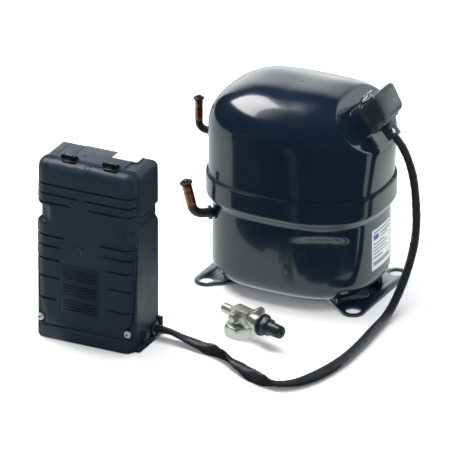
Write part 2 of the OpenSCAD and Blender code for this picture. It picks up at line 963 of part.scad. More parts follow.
module hinge_bores() {
    for (x = hinge_at) translate([x, seam_top_y, hinge_z])
        rod_x(hinge_pin_r + 0.05, -hinge_l, hinge_l);
}

module box_back() {
    half = hinge_l / 2;
    color("#1d262b") difference() {
        union() {
            difference() {
                box_walls();
                front_half(0);
            }
            for (x = hinge_at, s = [-1, 1]) translate([x + (s > 0 ? half - hinge_lug : -half), seam_top_y, box_h])
                hinge_ear(hinge_lug, 1);
            intersection() {
                box_block(box_wall / 2);
                for (x = screw_at) translate([x, seam_y(screw_z + boss_half), screw_z]) screw_boss();
            }
        }
        hinge_bores();
        for (x = screw_at) translate([x, seam_y(screw_z + boss_half), screw_z])
            rod_y(1.7, -1, boss_l - 2);
        translate([box_x + box_w, gland_y, gland_z]) rod_x(7.5, -box_wall - 1, 1);
    }
}

// a block on the box's side wall that takes a cover screw
module screw_boss() {
    reach = screw_in - box_wall / 2;
    translate([-reach, 0, -boss_half]) cube([2 * reach, boss_l, 2 * boss_half]);
}

// an ear from the box's top up round the hinge, to the back or the front
module hinge_ear(w, side) {
    rise = hinge_z - box_h;
    translate([0, 0, rise]) rod_x(hinge_r, 0, w);
    translate([0, side > 0 ? 0.5 : -9, -0.5]) cube([w, 8.5, hinge_r + 0.5]);
}

module box_cover() {
    half = hinge_l / 2;
    color("#1d262b") difference() {
        union() {
            intersection() {
                box_walls();
                front_half(-seam_gap);
            }
            for (x = hinge_at) translate([x - half + hinge_lug + seam_gap, seam_top_y, box_h])
                hinge_ear(hinge_l - 2 * hinge_lug - 2 * seam_gap, -1);
        }
        hinge_bores();
        for (x = screw_at) translate([x, box_y, screw_z]) rod_y(1.8, -1, box_wall + 6);
    }
}

module hinge_pins() {
    color("#9a9ea0") for (x = hinge_at) translate([x, seam_top_y, hinge_z])
        rod_x(hinge_pin_r, -hinge_l / 2, hinge_l / 2);
}

module cover_screws() {
    color("#b4b8ba") for (x = screw_at) translate([x, box_y, screw_z]) {
        rod_y(1.5, -0.5, seam_y(screw_z + boss_half) - box_y + boss_l - 3);
        rod_y(3.2, -2, -touch);
    }
}

module capacitor(x, h) {
    translate([x, box_y + box_d - box_wall - capacitor_d / 2 - 1, 22]) {
        cylinder(d = capacitor_d, h = h);
        for (s = [-1, 1]) translate([s * 8, 0, h]) cylinder(r = 2, h = 8);
    }
}

module start_capacitor() {
    color("#2a2a2c") capacitor(-191, 110);
}

module run_capacitor() {
    color("#c2c5c7") capacitor(-143, 96);
}

module start_relay() {
    color("#303236") translate([-190, -262, relay_z]) {
        cube([52, 34, 40]);
        translate([8, -4, 8]) cube([36, 4, 24]);
    }
}

module box_leads() {
    color("#7d2020") {
        pipe([[-183, -246, 141], [-183, -246, 150], [-178, -246, 172], [-176, -246, relay_z - 1]], 1.6);
        pipe([[-135, -246, 127], [-135, -246, 140], [-150, -246, 170], [-152, -246, relay_z - 1]], 1.6);
        pipe([[-91, gland_y, gland_z], [-104, gland_y, 24], [-108, -242, 90], [-112, -246, 150],
            [-130, -250, 180], [-135, -250, 196]], 1.8);
    }
}

module box_gland() {
    color("#1a1f22") translate([box_x + box_w, gland_y, gland_z]) difference() {
        union() {
            rod_x(7.2, -box_wall - 2, gland_l);
            rod_x(9.5, touch, gland_l);
        }
        rod_x(3, -box_wall - 3, touch);
    }
}

module box_label() {
    color("#e8e8e4") translate([-138, -249, box_h]) cube([36, 24, 0.4]);
}

// ---- service valve ----

module valve_body() {
    color("#c3c4b4") at_valve() translate([0, 0, valve_z]) difference() {
        union() {
            translate([-valve_back, -valve_half_w, -valve_half_h])
                cube([valve_back + valve_front, 2 * valve_half_w, 2 * valve_half_h]);
            rod_x(spigot_r, spigot_end, -valve_back + 1);
            rod_x(neck_r, valve_front - 1, neck_end);
            rod_x(thread_r, neck_end - 1, thread_end);
            translate([0, 0, -valve_z + 4]) cylinder(r = collar_r, h = valve_z - valve_half_h - 3);
            translate([0, 0, -valve_z + 4]) cylinder(r = 11.5, h = 4);
        }
        rod_x(spigot_bore_r, spigot_end - 1, spigot_end + socket_l);
        rod_x(2.6, spigot_end + socket_l - 1, neck_end);
        rod_x(4.1, neck_end - 1, thread_end + 1);
        translate([0, 0, -valve_z]) cylinder(r = 4, h = valve_z + 1);
        translate([port_at, 0, 0]) rod_y(3, 0, valve_half_w + 1);
        rod_y(2.5, -valve_half_w - 1, 0);
    }
}

module valve_seal() {
    color("#e6e2d6") at_valve() translate([0, 0, 2.4]) difference() {
        cylinder(r = 11.2, h = 1.5);
        translate([0, 0, -1]) cylinder(r = 6, h = 4);
    }
}

module union_nut() {
    color("#c6c9b6") at_valve() difference() {
        intersection() {
            hex(nut_af, nut_h);
            union() {
                cylinder(r1 = nut_af / 2 - 2, r2 = nut_af / 2 + nut_chamfer, h = nut_chamfer);
                translate([0, 0, nut_chamfer]) cylinder(r = nut_af / 2 + nut_chamfer, h = nut_h - 2 * nut_chamfer);
                translate([0, 0, nut_h - nut_chamfer])
                    cylinder(r1 = nut_af / 2 + nut_chamfer, r2 = nut_af / 2 - 1, h = nut_chamfer);
            }
        }
        translate([0, 0, -1]) cylinder(r = 12.4, h = 9.5);
        translate([0, 0, 2]) cylinder(r = 9.4, h = nut_h);
    }
}

module valve_gland() {
    color("#b9a56a") at_valve() translate([0, 0, valve_z]) difference() {
        union() {
            rod_x(4, neck_end, thread_end + e);
            translate([thread_end, 0, 0]) rotate([0, 90, 0]) hex(10, gland_h);
        }
        rod_x(spindle_r, neck_end - 1, thread_end + gland_h + 1);
    }
}

module valve_spindle() {
    color("#a8acae") at_valve() translate([0, 0, valve_z]) {
        rod_x(spindle_r - fit, 6, thread_end + gland_h + 6);
        translate([thread_end + gland_h + 6, 0, 0]) rotate([0, 90, 0]) cylinder(r = 2.6, h = 8, $fn = 4);
    }
}

module seal_cap() {
    s = cap_start;
    color("#181c20") at_valve() translate([0, 0, valve_z]) difference() {
        union() {
            rod_x(valve_cap_d / 2, s, s + cap_skirt);
            translate([s + cap_skirt, 0, 0]) rotate([0, 90, 0]) hex(cap_hex_af, cap_hex_l);
            rod_x(cap_tip_r, s + cap_skirt, cap_end);
        }
        rod_x(thread_r + run, s - 1, s + cap_skirt + cap_hex_l);
        rod_x(4, s, cap_end - 3);
    }
}

module port_fittings() {
    color("#b8bbae") at_valve() translate([0, 0, valve_z]) {
        translate([port_at, 0, 0]) {
            rod_y(5, valve_half_w + touch, valve_half_w + 7);
            rod_y(2.8, spindle_r + 1, valve_half_w + 1);
            rod_y(6.5, valve_half_w + 7, valve_half_w + 18);
        }
        translate([0, -valve_half_w - touch, 0]) rotate([90, 0, 0]) hex(11, 8);
        rod_y(2.3, -valve_half_w - 1, -spindle_r - 1);
    }
}

lower_shell();
upper_shell();
seam_weld();
foot_rail_left();
foot_rail_right();
spring_seats();
suction_stub();
discharge_stub();
stub_collars();
suction_plug();
discharge_plug();
rating_plate();
terminal_body();
terminal_glass();
terminal_pins();
terminal_fence();
terminal_block();
overload_protector();
terminal_cover();
cover_clip();
cord_clamp();
clamp_screw();
cord();
crankcase();
suction_muffler();
discharge_muffler();
discharge_loop();
cylinder_gasket();
suction_reed();
valve_plate();
discharge_reed();
cylinder_head();
head_bolts();
stator();
windings();
stator_bolts();
suspension_springs();
crankshaft();
rotor();
oil_pickup();
gallery_plug();
slide_block();
yoke_piston();
box_back();
box_cover();
hinge_pins();
cover_screws();
start_capacitor();
run_capacitor();
start_relay();
box_leads();
box_gland();
box_label();
valve_body();
valve_seal();
union_nut();
valve_gland();
valve_spindle();
seal_cap();
port_fittings();
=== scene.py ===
"""Looks of a hermetic reciprocating compressor with its electrical box and service valve.

Every size that the frame holds is read from it. All lengths are in metres.
"""

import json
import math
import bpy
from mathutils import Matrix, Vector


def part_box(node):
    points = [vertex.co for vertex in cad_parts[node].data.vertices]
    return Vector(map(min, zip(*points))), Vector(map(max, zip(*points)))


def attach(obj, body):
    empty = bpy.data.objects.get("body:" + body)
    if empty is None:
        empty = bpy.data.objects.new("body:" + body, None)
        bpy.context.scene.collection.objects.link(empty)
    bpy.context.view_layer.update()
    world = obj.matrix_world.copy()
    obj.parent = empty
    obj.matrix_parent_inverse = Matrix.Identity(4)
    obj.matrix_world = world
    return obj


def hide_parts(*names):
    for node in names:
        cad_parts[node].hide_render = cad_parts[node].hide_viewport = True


bl_info = {
    "name": "Hermetic Compressor",
    "version": (1, 0, 0),
    "blender": (4, 5, 0),
    "location": "View3D > Sidebar > Compressor",
    "description": "Builds the painted shell, the wired electrical box and the loose service valve",
    "category": "Add Mesh",
}

import bmesh
import bpy
from mathutils import Matrix, Vector

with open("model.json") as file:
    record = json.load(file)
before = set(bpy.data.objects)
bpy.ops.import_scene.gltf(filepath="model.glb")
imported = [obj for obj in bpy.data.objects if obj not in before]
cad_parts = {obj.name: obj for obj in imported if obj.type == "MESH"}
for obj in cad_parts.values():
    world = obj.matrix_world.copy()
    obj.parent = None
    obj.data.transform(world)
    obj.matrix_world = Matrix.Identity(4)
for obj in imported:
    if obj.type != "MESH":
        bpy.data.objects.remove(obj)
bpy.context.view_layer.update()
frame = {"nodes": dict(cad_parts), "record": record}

MM = 0.001

# where the frame's pieces stand
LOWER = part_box("lower_shell")
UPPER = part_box("upper_shell")
BOX_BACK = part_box("box_back")
BOX_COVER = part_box("box_cover")
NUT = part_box("union_nut")
VALVE_CENTRE = Vector(((NUT[0].x + NUT[1].x) / 2, (NUT[0].y + NUT[1].y) / 2, 0))


# ---------------------------------------------------------------- settings


class ShellSettings(bpy.types.PropertyGroup):
    """Sizes and colours of the welded shell"""

    paint: bpy.props.FloatVectorProperty(
        name="Paint", description="Colour of the enamel", subtype="COLOR",
        size=3, min=0, max=1, default=(0.0055, 0.0115, 0.0220),
    )
    corner_radius: bpy.props.FloatProperty(
        name="Corner radius", description="Plan radius of the bell's corners",
        default=76 * MM, unit="LENGTH",
    )
    soften: bpy.props.FloatProperty(
        name="Side crown", description="How softly the plan's sides bow into its corners",
        default=0.12, min=0.01, max=0.5,
    )
    facet_tilt: bpy.props.FloatProperty(
        name="Facet tilt", description="Tilt of the terminal's facet from the horizontal",
        default=math.radians(50), unit="ROTATION",
    )


class BoxSettings(bpy.types.PropertyGroup):
    """Sizes and colours of the electrical box"""

    plastic: bpy.props.FloatVectorProperty(
        name="Plastic", description="Colour of the moulded box", subtype="COLOR",
        size=3, min=0, max=1, default=(0.0100, 0.0190, 0.0330),
    )
    groove_depth: bpy.props.FloatProperty(
        name="Groove depth", description="Depth of the grooves across the cover",
        default=2.6 * MM, unit="LENGTH",
    )
    wall: bpy.props.FloatProperty(
        name="Wall", description="Thickness of the moulded walls", default=2.2 * MM, unit="LENGTH",
    )


class LeadSettings(bpy.types.PropertyGroup):
    """Sizes and colours of the lead's sleeve"""

    sleeve: bpy.props.FloatVectorProperty(
        name="Sleeve", description="Colour of the soft sleeve", subtype="COLOR",
        size=3, min=0, max=1, default=(0.012, 0.015, 0.018),
    )
    width: bpy.props.FloatProperty(
        name="Width", description="Width of the sleeve over its flat side", default=16.5 * MM, unit="LENGTH",
    )
    thickness: bpy.props.FloatProperty(
        name="Thickness", description="Thickness of the sleeve", default=10 * MM, unit="LENGTH",
    )


class ValveSettings(bpy.types.PropertyGroup):
    """Colours of the service valve"""

    plating: bpy.props.FloatVectorProperty(
        name="Plating", description="Colour of the zinc plating", subtype="COLOR",
        size=3, min=0, max=1, default=(0.66, 0.67, 0.60),
    )
    cap: bpy.props.FloatVectorProperty(
        name="Cap", description="Colour of the seal cap", subtype="COLOR",
        size=3, min=0, max=1, default=(0.012, 0.016, 0.020),
    )


class StudioSettings(bpy.types.PropertyGroup):
    """The camera and the light"""

    azimuth: bpy.props.FloatProperty(
        name="Azimuth", description="Camera's bearing round the object",
        default=math.radians(26.4), unit="ROTATION",
    )
    elevation: bpy.props.FloatProperty(
        name="Elevation", description="Camera's height angle", default=math.radians(24.8), unit="ROTATION",
    )
    distance: bpy.props.FloatProperty(
        name="Distance", description="Camera's distance from its target", default=16.0, unit="LENGTH",
    )
    lens: bpy.props.FloatProperty(
        name="Lens", description="Focal length on a 36 mm sensor, in millimetres", default=1019.5,
    )


# ---------------------------------------------------------------- mesh helpers


def finish_piece(name, mesh, material, smooth=True):
    """Turns a bmesh into an object at the origin with one material."""
    data = bpy.data.meshes.new(name)
    bmesh.ops.recalc_face_normals(mesh, faces=mesh.faces)
    mesh.to_mesh(data)
    mesh.free()
    for face in data.polygons:
        face.use_smooth = smooth
    data.materials.append(material)
    piece = bpy.data.objects.new(name, data)
    bpy.context.scene.collection.objects.link(piece)
    return piece


def loft(mesh, rings, cap_start=True, cap_end=True):
    """Skins closed rings of equally many points."""
    made = [[mesh.verts.new(p) for p in ring] for ring in rings]
    count = len(rings[0])
    for low, high in zip(made, made[1:]):
        for k in range(count):
            n = (k + 1) % count
            mesh.faces.new((low[k], low[n], high[n], high[k]))
    if cap_start:
        mesh.faces.new(made[0][::-1])
    if cap_end:
        mesh.faces.new(made[-1])
    return made


def loft_piece(name, rings, material, cap_start=True, cap_end=True):
    mesh = bmesh.new()
    loft(mesh, rings, cap_start, cap_end)
    return finish_piece(name, mesh, material)


def apply_modifier(piece, kind, **values):
    """Adds a modifier and bakes it into the mesh."""
    modifier = piece.modifiers.new(kind.title(), kind)
    for key, value in values.items():
        setattr(modifier, key, value)
    result = bpy.data.meshes.new_from_object(
        piece.evaluated_get(bpy.context.evaluated_depsgraph_get())
    )
    old = piece.data
    piece.modifiers.clear()
    piece.data = result
    bpy.data.meshes.remove(old)
    for face in piece.data.polygons:
        face.use_smooth = True
    return piece


def sharpen(piece, degrees=35):
    """Keeps edges steeper than an angle crisp."""
    mesh = bmesh.new()
    mesh.from_mesh(piece.data)
    for edge in mesh.edges:
        edge.smooth = len(edge.link_faces) != 2 or edge.calc_face_angle(0) < math.radians(degrees)
    mesh.to_mesh(piece.data)
    mesh.free()
    return piece


def softened(node, material, width, segments=2, angle=35):
    """A copy of a CAD node with its edges rounded, standing in for the node."""
    mesh = bmesh.new()
    mesh.from_mesh(frame["nodes"][node].data)
    bmesh.ops.remove_doubles(mesh, verts=mesh.verts, dist=0.01 * MM)
    bmesh.ops.dissolve_limit(
        mesh, angle_limit=math.radians(3), verts=mesh.verts, edges=mesh.edges
    )
    data = bpy.data.meshes.new(node + "_soft")
    mesh.to_mesh(data)
    mesh.free()
    data.materials.clear()
    data.materials.append(material)
    piece = bpy.data.objects.new(node + "_soft", data)
    bpy.context.scene.collection.objects.link(piece)
    apply_modifier(
        piece, "BEVEL", width=width, segments=segments, limit_method="ANGLE",
        angle_limit=math.radians(angle), use_clamp_overlap=True, harden_normals=False,
    )
    sharpen(piece, 40)
    ride_and_replace(piece, node)
    return piece


def body_of(node):
    for body, members in frame["record"]["behaviour"]["bodies"].items():
        if node in members:
            return body
    raise KeyError(node)


SLOTS = {part["node"]: part["material_slot"] for part in frame["record"]["subparts"]}


def ride_and_replace(piece, *nodes):
    """Rides on the body of the first node and stands for all of them."""
    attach(piece, body_of(nodes[0]))
    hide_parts(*nodes)


def ride_trim(piece, node):
    """Rides with a node as an extra piece that replaces nothing."""
    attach(piece, body_of(node))


def ramp(value, low, high):
    """Smooth step from 0 at low to 1 at high."""
    t = min(max((value - low) / (high - low), 0.0), 1.0)
    return t * t * (3 - 2 * t)


def circle_points(centre, across, up, radius, count):
    """A ring of points round a centre in the plane of two directions."""
    turn = 2 * math.pi / count
    return [
        centre + radius * (across * math.cos(k * turn) + up * math.sin(k * turn))
        for k in range(count)
    ]


# ---------------------------------------------------------------- geometry nodes


def new_tree(name, sockets):
    """An empty geometry tree with a geometry input and output and named settings."""
    tree = bpy.data.node_groups.new(name, "GeometryNodeTree")
    tree.interface.new_socket("Geometry", in_out="INPUT", socket_type="NodeSocketGeometry")
    tree.interface.new_socket("Geometry", in_out="OUTPUT", socket_type="NodeSocketGeometry")
    for label, kind in sockets:
        tree.interface.new_socket(label, in_out="INPUT", socket_type="NodeSocket" + kind)
    return tree


def repeat_tree(name, shape, along):
    """Repeats a shape at each point of the input: turned along the path, or to a given direction."""
    tree = new_tree(
        name, (("Size", "Vector"), ("Direction", "Vector"), ("Count", "Int"), ("Material", "Material")),
    )
    nodes, links = tree.nodes, tree.links
    given = nodes.new("NodeGroupInput")
    curve = nodes.new("GeometryNodeMeshToCurve")
    resample = nodes.new("GeometryNodeResampleCurve")
    place = nodes.new("GeometryNodeInstanceOnPoints")
    turn = nodes.new("FunctionNodeAlignRotationToVector")
    turn.axis = "Z"
    real = nodes.new("GeometryNodeRealizeInstances")
    paint = nodes.new("GeometryNodeSetMaterial")
    out = nodes.new("NodeGroupOutput")
    if along:
        links.new(given.outputs["Geometry"], curve.inputs["Mesh"])
        links.new(curve.outputs["Curve"], resample.inputs["Curve"])
        links.new(given.outputs["Count"], resample.inputs["Count"])
        links.new(resample.outputs["Curve"], place.inputs["Points"])
        tangent = nodes.new("GeometryNodeInputTangent")
        links.new(tangent.outputs["Tangent"], turn.inputs["Vector"])
    else:
        links.new(given.outputs["Geometry"], place.inputs["Points"])
        links.new(given.outputs["Direction"], turn.inputs["Vector"])
    if shape == "bead":
        made = nodes.new("GeometryNodeMeshUVSphere")
        made.inputs["Segments"].default_value = 12
        made.inputs["Rings"].default_value = 8
        made.inputs["Radius"].default_value = 0.5
    elif shape == "disc":
        made = nodes.new("GeometryNodeMeshCylinder")
        made.inputs["Vertices"].default_value = 24
        made.inputs["Radius"].default_value = 0.5
        made.inputs["Depth"].default_value = 1
    else:
        made = nodes.new("GeometryNodeMeshCube")
    links.new(made.outputs["Mesh"], place.inputs["Instance"])
    links.new(turn.outputs["Rotation"], place.inputs["Rotation"])
    links.new(given.outputs["Size"], place.inputs["Scale"])
    links.new(place.outputs["Instances"], real.inputs["Geometry"])
    links.new(real.outputs["Geometry"], paint.inputs["Geometry"])
    links.new(given.outputs["Material"], paint.inputs["Material"])
    links.new(paint.outputs["Geometry"], out.inputs["Geometry"])
    return tree


def repeated(name, points, shape, size, material, direction=(0, 0, 1), count=0, closed=False, bevel=0.0):
    """A piece of many like shapes, made by a geometry tree and kept as a plain mesh."""
    data = bpy.data.meshes.new(name)
    edges = [(k, k + 1) for k in range(len(points) - 1)] if count else []
    if closed:
        edges.append((len(points) - 1, 0))
    data.from_pydata([tuple(p) for p in points], edges, [])
    piece = bpy.data.objects.new(name, data)
    bpy.context.scene.collection.objects.link(piece)
    tree = repeat_tree(name + "_tree", shape, bool(count))
    values = {"Size": size, "Direction": tuple(direction), "Count": count, "Material": material}
    modifier = piece.modifiers.new("Repeat", "NODES")
    modifier.node_group = tree
    for item in tree.interface.items_tree:
        if item.in_out == "INPUT" and item.name in values:
            modifier[item.identifier] = values[item.name]
    result = bpy.data.meshes.new_from_object(piece.evaluated_get(bpy.context.evaluated_depsgraph_get()))
    piece.modifiers.clear()
    piece.data = result
    for face in result.polygons:
        face.use_smooth = True
    if bevel:
        apply_modifier(piece, "BEVEL", width=bevel, segments=2, limit_method="ANGLE")
    return sharpen(piece, 40)


# ---------------------------------------------------------------- materials


def noise(tree, coordinates, scale, detail=4, roughness=0.5):
    node = tree.nodes.new("ShaderNodeTexNoise")
    node.inputs["Scale"].default_value = scale
    node.inputs["Detail"].default_value = detail
    node.inputs["Roughness"].default_value = roughness
    tree.links.new(coordinates, node.inputs["Vector"])
    return node.outputs["Fac"]


def spread(tree, value, low, high, from_low=0.3, from_high=0.7):
    """Maps a noise value onto a range."""
    node = tree.nodes.new("ShaderNodeMapRange")
    node.inputs["From Min"].default_value = from_low
    node.inputs["From Max"].default_value = from_high
    node.inputs["To Min"].default_value = low
    node.inputs["To Max"].default_value = high
    tree.links.new(value, node.inputs["Value"])
    return node.outputs["Result"]


def mixed(tree, factor, first, second):
    node = tree.nodes.new("ShaderNodeMix")
    node.data_type = "RGBA"
    for socket, value in ((node.inputs[6], first), (node.inputs[7], second)):
        if hasattr(value, "default_value"):
            tree.links.new(value, socket)
        else:
            socket.default_value = (*value, 1)
    tree.links.new(factor, node.inputs[0])
    return node.outputs[2]


def bumped(tree, height, strength, distance, below=None):
    node = tree.nodes.new("ShaderNodeBump")
    node.inputs["Strength"].default_value = strength
    node.inputs["Distance"].default_value = distance
    tree.links.new(height, node.inputs["Height"])
    if below is not None:
        tree.links.new(below, node.inputs["Normal"])
    return node.outputs["Normal"]


def shade(colour, factor):
    return tuple(min(c * factor, 1) for c in colour)


def finish(
    name, colour, roughness, metallic=0.0, variation=0.25, grain=(900, 0.05), mottling=45,
    rough_spread=0.08, coat=0.0, edge_wear_and_highlight=0.0, wear_and_highlight_colour=(0.3, 0.3, 0.3), specular=0.5, stretch=None,
):
    """A surface with mottled colour, uneven gloss, a fine grain and, where asked, lighter edges that stand
    for wear and a painted highlight.
    """
    material = bpy.data.materials.new(name)
    material.use_nodes = True
    material.diffuse_color = (*colour, 1)
    tree = material.node_tree
    shader = tree.nodes["Principled BSDF"]
    place = tree.nodes.new("ShaderNodeTexCoord").outputs["Object"]
    if stretch:
        mapping = tree.nodes.new("ShaderNodeMapping")
        mapping.inputs["Scale"].default_value = stretch
        tree.links.new(place, mapping.inputs["Vector"])
        place = mapping.outputs["Vector"]
    patches = noise(tree, place, mottling, 5)
    dark, light = shade(colour, 1 - variation), shade(colour, 1 + variation)
    tint = mixed(tree, spread(tree, patches, 0, 1), dark, light)
    # wear and painted highlight: a lighter colour laid on pointed edges
    if edge_wear_and_highlight:
        pointed = tree.nodes.new("ShaderNodeNewGeometry").outputs["Pointiness"]
        wear_and_highlight_edges = spread(tree, pointed, 0, edge_wear_and_highlight, 0.53, 0.62)
        tint = mixed(tree, wear_and_highlight_edges, tint, wear_and_highlight_colour)
    tree.links.new(tint, shader.inputs["Base Color"])
    streaks = noise(tree, place, mottling * 2.7, 3)
    tree.links.new(
        spread(tree, streaks, max(roughness - rough_spread, 0.02), roughness + rough_spread),
        shader.inputs["Roughness"],
    )
    shader.inputs["Metallic"].default_value = metallic
    shader.inputs["Specular IOR Level"].default_value = specular
    if coat:
        shader.inputs["Coat Weight"].default_value = coat
        shader.inputs["Coat Roughness"].default_value = 0.04
    grains = noise(tree, place, grain[0], 3, 0.6)
    tree.links.new(bumped(tree, grains, grain[1], 0.4 * MM), shader.inputs["Normal"])
    return material


def enamel(name, colour):
    """Gloss enamel with a faint orange peel and dust."""
    return finish(
        name, colour, 0.16, variation=0.12, mottling=9, rough_spread=0.05, coat=0.55,
        grain=(260, 0.018), specular=0.55,
    )


MATERIALS = {}


def make_materials():
    shell = bpy.context.scene.compressor_shell
    box = bpy.context.scene.compressor_box
    lead = bpy.context.scene.compressor_lead
    valve = bpy.context.scene.compressor_valve
    steel = (0.55, 0.56, 0.57)
    m = MATERIALS
    m["shell_paint"] = enamel("blue_black_enamel", tuple(shell.paint))
    m["foot_paint"] = finish(
        "foot_enamel", shade(tuple(shell.paint), 1.2), 0.2, variation=0.2, coat=0.35, grain=(300, 0.04),
    )
    m["fence_paint"] = finish(
        "fence_enamel", shade(tuple(shell.paint), 1.3), 0.2, coat=0.4, grain=(400, 0.03),
    )
    m["weld_bead"] = finish(
        "painted_weld", shade(tuple(shell.paint), 1.1), 0.2, variation=0.3, coat=0.5, grain=(500, 0.12),
    )
    m["copper"] = copper()
    m["plug_rubber"] = finish("moulded_rubber", (0.012, 0.012, 0.012), 0.55, grain=(1500, 0.15))
    m["label"] = finish("satin_film", (0.78, 0.80, 0.80), 0.35, variation=0.03, grain=(700, 0.03))
    m["bright_steel"] = finish(
        "bright_zinc", steel, 0.22, 1.0, variation=0.1, rough_spread=0.1, grain=(600, 0.01),
    )
    m["terminal_glass"] = finish("fused_glass", (0.05, 0.2, 0.13), 0.1, coat=0.6)
    m["brass"] = finish("machined_brass", (0.62, 0.45, 0.2), 0.28, 1.0)
    m["black_plastic"] = finish("black_moulding", (0.018, 0.018, 0.02), 0.45, grain=(1500, 0.1))
    # painted highlight: the cover's edges are lightened so that they look lit
    m["cover_plastic"] = finish(
        "satin_moulding", (0.013, 0.019, 0.023), 0.3, variation=0.15, grain=(1300, 0.1), edge_wear_and_highlight=0.25,
        wear_and_highlight_colour=(0.04, 0.05, 0.055),
    )
    m["cord_sleeve"] = finish(
        "soft_sleeve", tuple(lead.sleeve), 0.42, variation=0.2, mottling=60, grain=(240, 0.25),
        rough_spread=0.1,
    )
    m["cast_iron"] = finish("cast_iron", (0.1, 0.1, 0.1), 0.6, 0.6, grain=(700, 0.5))
    m["cream_plastic"] = finish("cream_moulding", (0.62, 0.58, 0.46), 0.45)
    m["gasket"] = finish("gasket_fibre", (0.1, 0.09, 0.08), 0.8, grain=(1500, 0.4))
    m["machined_steel"] = finish("ground_steel", (0.4, 0.41, 0.42), 0.25, 1.0)
    m["pressed_steel"] = finish("oily_steel", (0.2, 0.21, 0.22), 0.35, 1.0)
    m["cast_aluminium"] = finish("cast_aluminium", (0.5, 0.51, 0.52), 0.42, 1.0, grain=(800, 0.25))
    m["dark_bolts"] = finish("black_oxide", (0.05, 0.05, 0.055), 0.35, 0.9)
    m["lamination"] = finish(
        "laminations", (0.28, 0.29, 0.3), 0.4, 1.0, stretch=(1, 1, 60), grain=(300, 0.3),
    )
    m["winding_copper"] = finish(
        "enamelled_wire", (0.5, 0.2, 0.07), 0.25, 0.9, stretch=(1, 1, 4), grain=(500, 0.5),
    )
    # the lighter edges are part wear and part painted highlight
    m["box_plastic"] = finish(
        "grained_plastic", tuple(box.plastic), 0.44, variation=0.14, mottling=20, grain=(1100, 0.22),
        rough_spread=0.06, edge_wear_and_highlight=0.35, wear_and_highlight_colour=shade(tuple(box.plastic), 2.0),
    )
    m["clip_plastic"] = finish("clip_moulding", (0.004, 0.005, 0.006), 0.35, variation=0.1, grain=(900, 0.05))
    # painted shade: a darkened copy of the box plastic laid into holes, slots and screw recesses
    m["groove_plastic"] = finish("painted_recess_shade", shade(tuple(box.plastic), 0.3), 0.6)
    m["panel_plastic"] = finish(
        "panel_plastic", shade(tuple(box.plastic), 0.85), 0.38, variation=0.08, grain=(1100, 0.1),
    )
    m["capacitor_can"] = finish("drawn_can", (0.65, 0.66, 0.67), 0.3, 1.0, stretch=(1, 1, 8))
    m["lead_red"] = finish("red_insulation", (0.3, 0.03, 0.02), 0.4)
    m["zinc"] = finish(
        "zinc_plating", tuple(valve.plating), 0.36, 0.9, variation=0.10, mottling=120, rough_spread=0.07,
        grain=(500, 0.004),
    )
    m["zinc_nut"] = finish(
        "tinted_zinc", shade(tuple(valve.plating), 0.92), 0.34, 0.9, variation=0.12, mottling=90,
        rough_spread=0.08, grain=(500, 0.004),
    )
    m["seal_white"] = finish("seal_ring", (0.75, 0.74, 0.7), 0.5)
    m["cap_plastic"] = finish("cap_nylon", tuple(valve.cap), 0.33, grain=(1500, 0.12))
    m["screw_zinc"] = finish("screw_zinc", (0.62, 0.62, 0.56), 0.35, 0.55, variation=0.1, grain=(500, 0.01))
    # painted shade: the white paper sticker is darkened to grey
    m["sticker"] = finish("shaded_paper_sticker", (0.46, 0.48, 0.48), 0.45, variation=0.05, grain=(700, 0.05))
    m["print_grey"] = finish("grey_print", (0.25, 0.27, 0.30), 0.4, grain=(700, 0.03))
    m["print_blue"] = finish("blue_print", (0.03, 0.12, 0.42), 0.35, grain=(700, 0.03))
    # painted sheen: a lighter plastic that makes the cover's top face look lit
    m["panel_cover"] = finish("hood_face_sheen", (0.03, 0.038, 0.042), 0.3, variation=0.1, grain=(900, 0.1))


def copper():
    """Bare copper that darkens to paint and heat stains towards its root and bend."""
    material = finish(
        "brazed_copper", (0.42, 0.19, 0.11), 0.3, 1.0, variation=0.25, mottling=90, grain=(900, 0.1),
    )
    tree = material.node_tree
    shader = tree.nodes["Principled BSDF"]
    stain = tree.nodes.new("ShaderNodeAttribute")
    stain.attribute_name = "stain"
    old = shader.inputs["Base Color"].links[0].from_socket
    painted = mixed(tree, stain.outputs["Fac"], old, (0.012, 0.012, 0.013))
    tree.links.new(painted, shader.inputs["Base Color"])
    inverse = tree.nodes.new("ShaderNodeMapRange")
    inverse.inputs["To Min"].default_value = 1
    inverse.inputs["To Max"].default_value = 0
    tree.links.new(stain.outputs["Fac"], inverse.inputs["Value"])
    tree.links.new(inverse.outputs["Result"], shader.inputs["Metallic"])
    return material


# ---------------------------------------------------------------- welded shell

SHELL_STEPS = 288
BELL_HALF_X = (LOWER[1].x - LOWER[0].x) / 2
BELL_HALF_Y = (LOWER[1].y - LOWER[0].y) / 2
UPPER_INSET = BELL_HALF_X - UPPER[1].x
SHELL_TOP = UPPER[1].z
SHELL_BOTTOM = LOWER[0].z
BELL_TOP = LOWER[1].z
WALL = 3 * MM
SHOULDER_R = 62 * MM
LOWER_INSET = 8 * MM
CREASE = BELL_TOP - 25 * MM
CREASE_HEIGHT = 13 * MM
BOTTOM_R = 22 * MM
BOTTOM_DISH = 3 * MM
FACET_DEPTH = 15 * MM
FACET_FILLET = 2.2 * MM
FACET_SWELL = 3.6 * MM
# the dome's shoulder is a superellipse of this power and reach, followed until it has turned in this far
SHOULDER_POWER = 2.45
SHOULDER_REACH = 94 * MM
SHOULDER_TURN_IN = 58 * MM
# rows round the springing, up the shoulder and over the crown
SPRING_STEPS = 16
SHOULDER_STEPS = 46
CROWN_STEPS = 26


